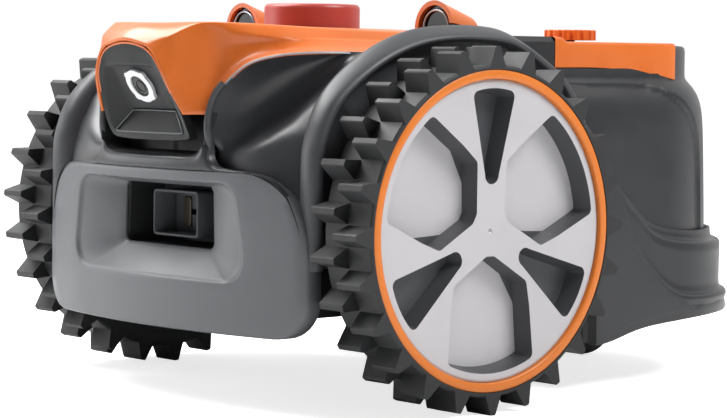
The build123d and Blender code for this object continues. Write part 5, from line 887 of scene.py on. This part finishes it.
def pale_floor():
    """Matt white floor with faint mottling and a glow of its own that only the camera sees."""
    material = bpy.data.materials.new("matt_white_floor")
    material.use_nodes = True
    tree = material.node_tree
    tree.nodes.clear()
    place = add(tree, "ShaderNodeTexCoord").outputs["Object"]
    cloud = add(tree, "ShaderNodeTexNoise", {"Vector": place, "Scale": 1.5, "Detail": 2.0})
    tint = add(tree, "ShaderNodeMix", {0: cloud.outputs["Fac"], 6: linear("#F6F6F6"), 7: linear("#FAFAFA")},
               data_type="RGBA")
    seen = add(tree, "ShaderNodeLightPath").outputs["Is Camera Ray"]
    glow = add(tree, "ShaderNodeMath", {0: seen, 1: FLOOR_GLOW}, operation="MULTIPLY")
    shader = add(tree, "ShaderNodeBsdfPrincipled", {
        "Base Color": tint.outputs[2], "Roughness": 0.9, "Emission Color": [1, 1, 1, 1],
        "Emission Strength": glow.outputs[0]})
    add(tree, "ShaderNodeOutputMaterial", {"Surface": shader.outputs["BSDF"]})
    return material


bpy.ops.mesh.primitive_plane_add(size=30)
floor = bpy.context.object
floor.name = "floor"
floor.data.materials.append(pale_floor())

world = bpy.data.worlds.new("studio")
bpy.context.scene.world = world
world.use_nodes = True
tree = world.node_tree
tree.nodes.clear()
ray = add(tree, "ShaderNodeLightPath")
aim = add(tree, "ShaderNodeTexCoord").outputs["Generated"]
behind = add(tree, "ShaderNodeVectorMath", {0: aim, 1: GLOW_TOWARD}, operation="DOT_PRODUCT")
glow = add(tree, "ShaderNodeMapRange", {
    "Value": behind.outputs["Value"], "From Min": GLOW_START, "From Max": GLOW_FULL,
    "To Min": GLOW_LOW, "To Max": GLOW_HIGH}, interpolation_type="SMOOTHSTEP")
seen = add(tree, "ShaderNodeMath", {0: ray.outputs["Is Camera Ray"], 1: glow.outputs["Result"]},
           operation="MAXIMUM")
sky = add(tree, "ShaderNodeBackground", {"Color": [1, 1, 1, 1], "Strength": seen.outputs[0]})
add(tree, "ShaderNodeOutputWorld", {"Surface": sky.outputs[0]})


def softbox(name, place, target, size, watts):
    """Rectangular area lamp that points at a target, all in metres."""
    lamp = bpy.data.lights.new(name, "AREA")
    lamp.shape = "RECTANGLE"
    lamp.size, lamp.size_y = size
    lamp.energy = watts
    holder = bpy.data.objects.new(name, lamp)
    bpy.context.collection.objects.link(holder)
    holder.location = place
    holder.rotation_euler = (Vector(target) - Vector(place)).to_track_quat("-Z", "Y").to_euler()


softbox("right_softbox", (1.5, 0.7, 2.0), (0, 0, 0.15), (1.1, 1.1), 62)
softbox("top_softbox", (-0.8, -0.5, 1.4), (0.1, -0.08, 0.2), (1.2, 1.0), 42)
softbox("left_softbox", (-1.9, -1.3, 0.55), (0, -0.1, 0.1), (1.2, 0.8), 10)

VIEW_PLACE = (1.41319, -1.27423, 0.24764)   # metres
VIEW_LENS = 120.68
VIEW_TURN = math.radians(48.77)
VIEW_RISE = math.radians(3.58)
VIEW_ROLL = math.radians(0.64)
back = Vector((math.sin(VIEW_TURN) * math.cos(VIEW_RISE), -math.cos(VIEW_TURN) * math.cos(VIEW_RISE),
               math.sin(VIEW_RISE)))
level = Vector((math.cos(VIEW_TURN), math.sin(VIEW_TURN), 0))
upright = back.cross(level)
right = math.cos(VIEW_ROLL) * level + math.sin(VIEW_ROLL) * upright
up = -math.sin(VIEW_ROLL) * level + math.cos(VIEW_ROLL) * upright
lens = bpy.data.cameras.new("camera")
lens.sensor_width = 36
lens.lens = VIEW_LENS
camera = bpy.data.objects.new("camera", lens)
bpy.context.collection.objects.link(camera)
camera.matrix_world = Matrix((
    (right.x, up.x, back.x, VIEW_PLACE[0]), (right.y, up.y, back.y, VIEW_PLACE[1]),
    (right.z, up.z, back.z, VIEW_PLACE[2]), (0, 0, 0, 1)))
bpy.context.scene.camera = camera
bpy.context.scene.view_settings.view_transform = "Standard"
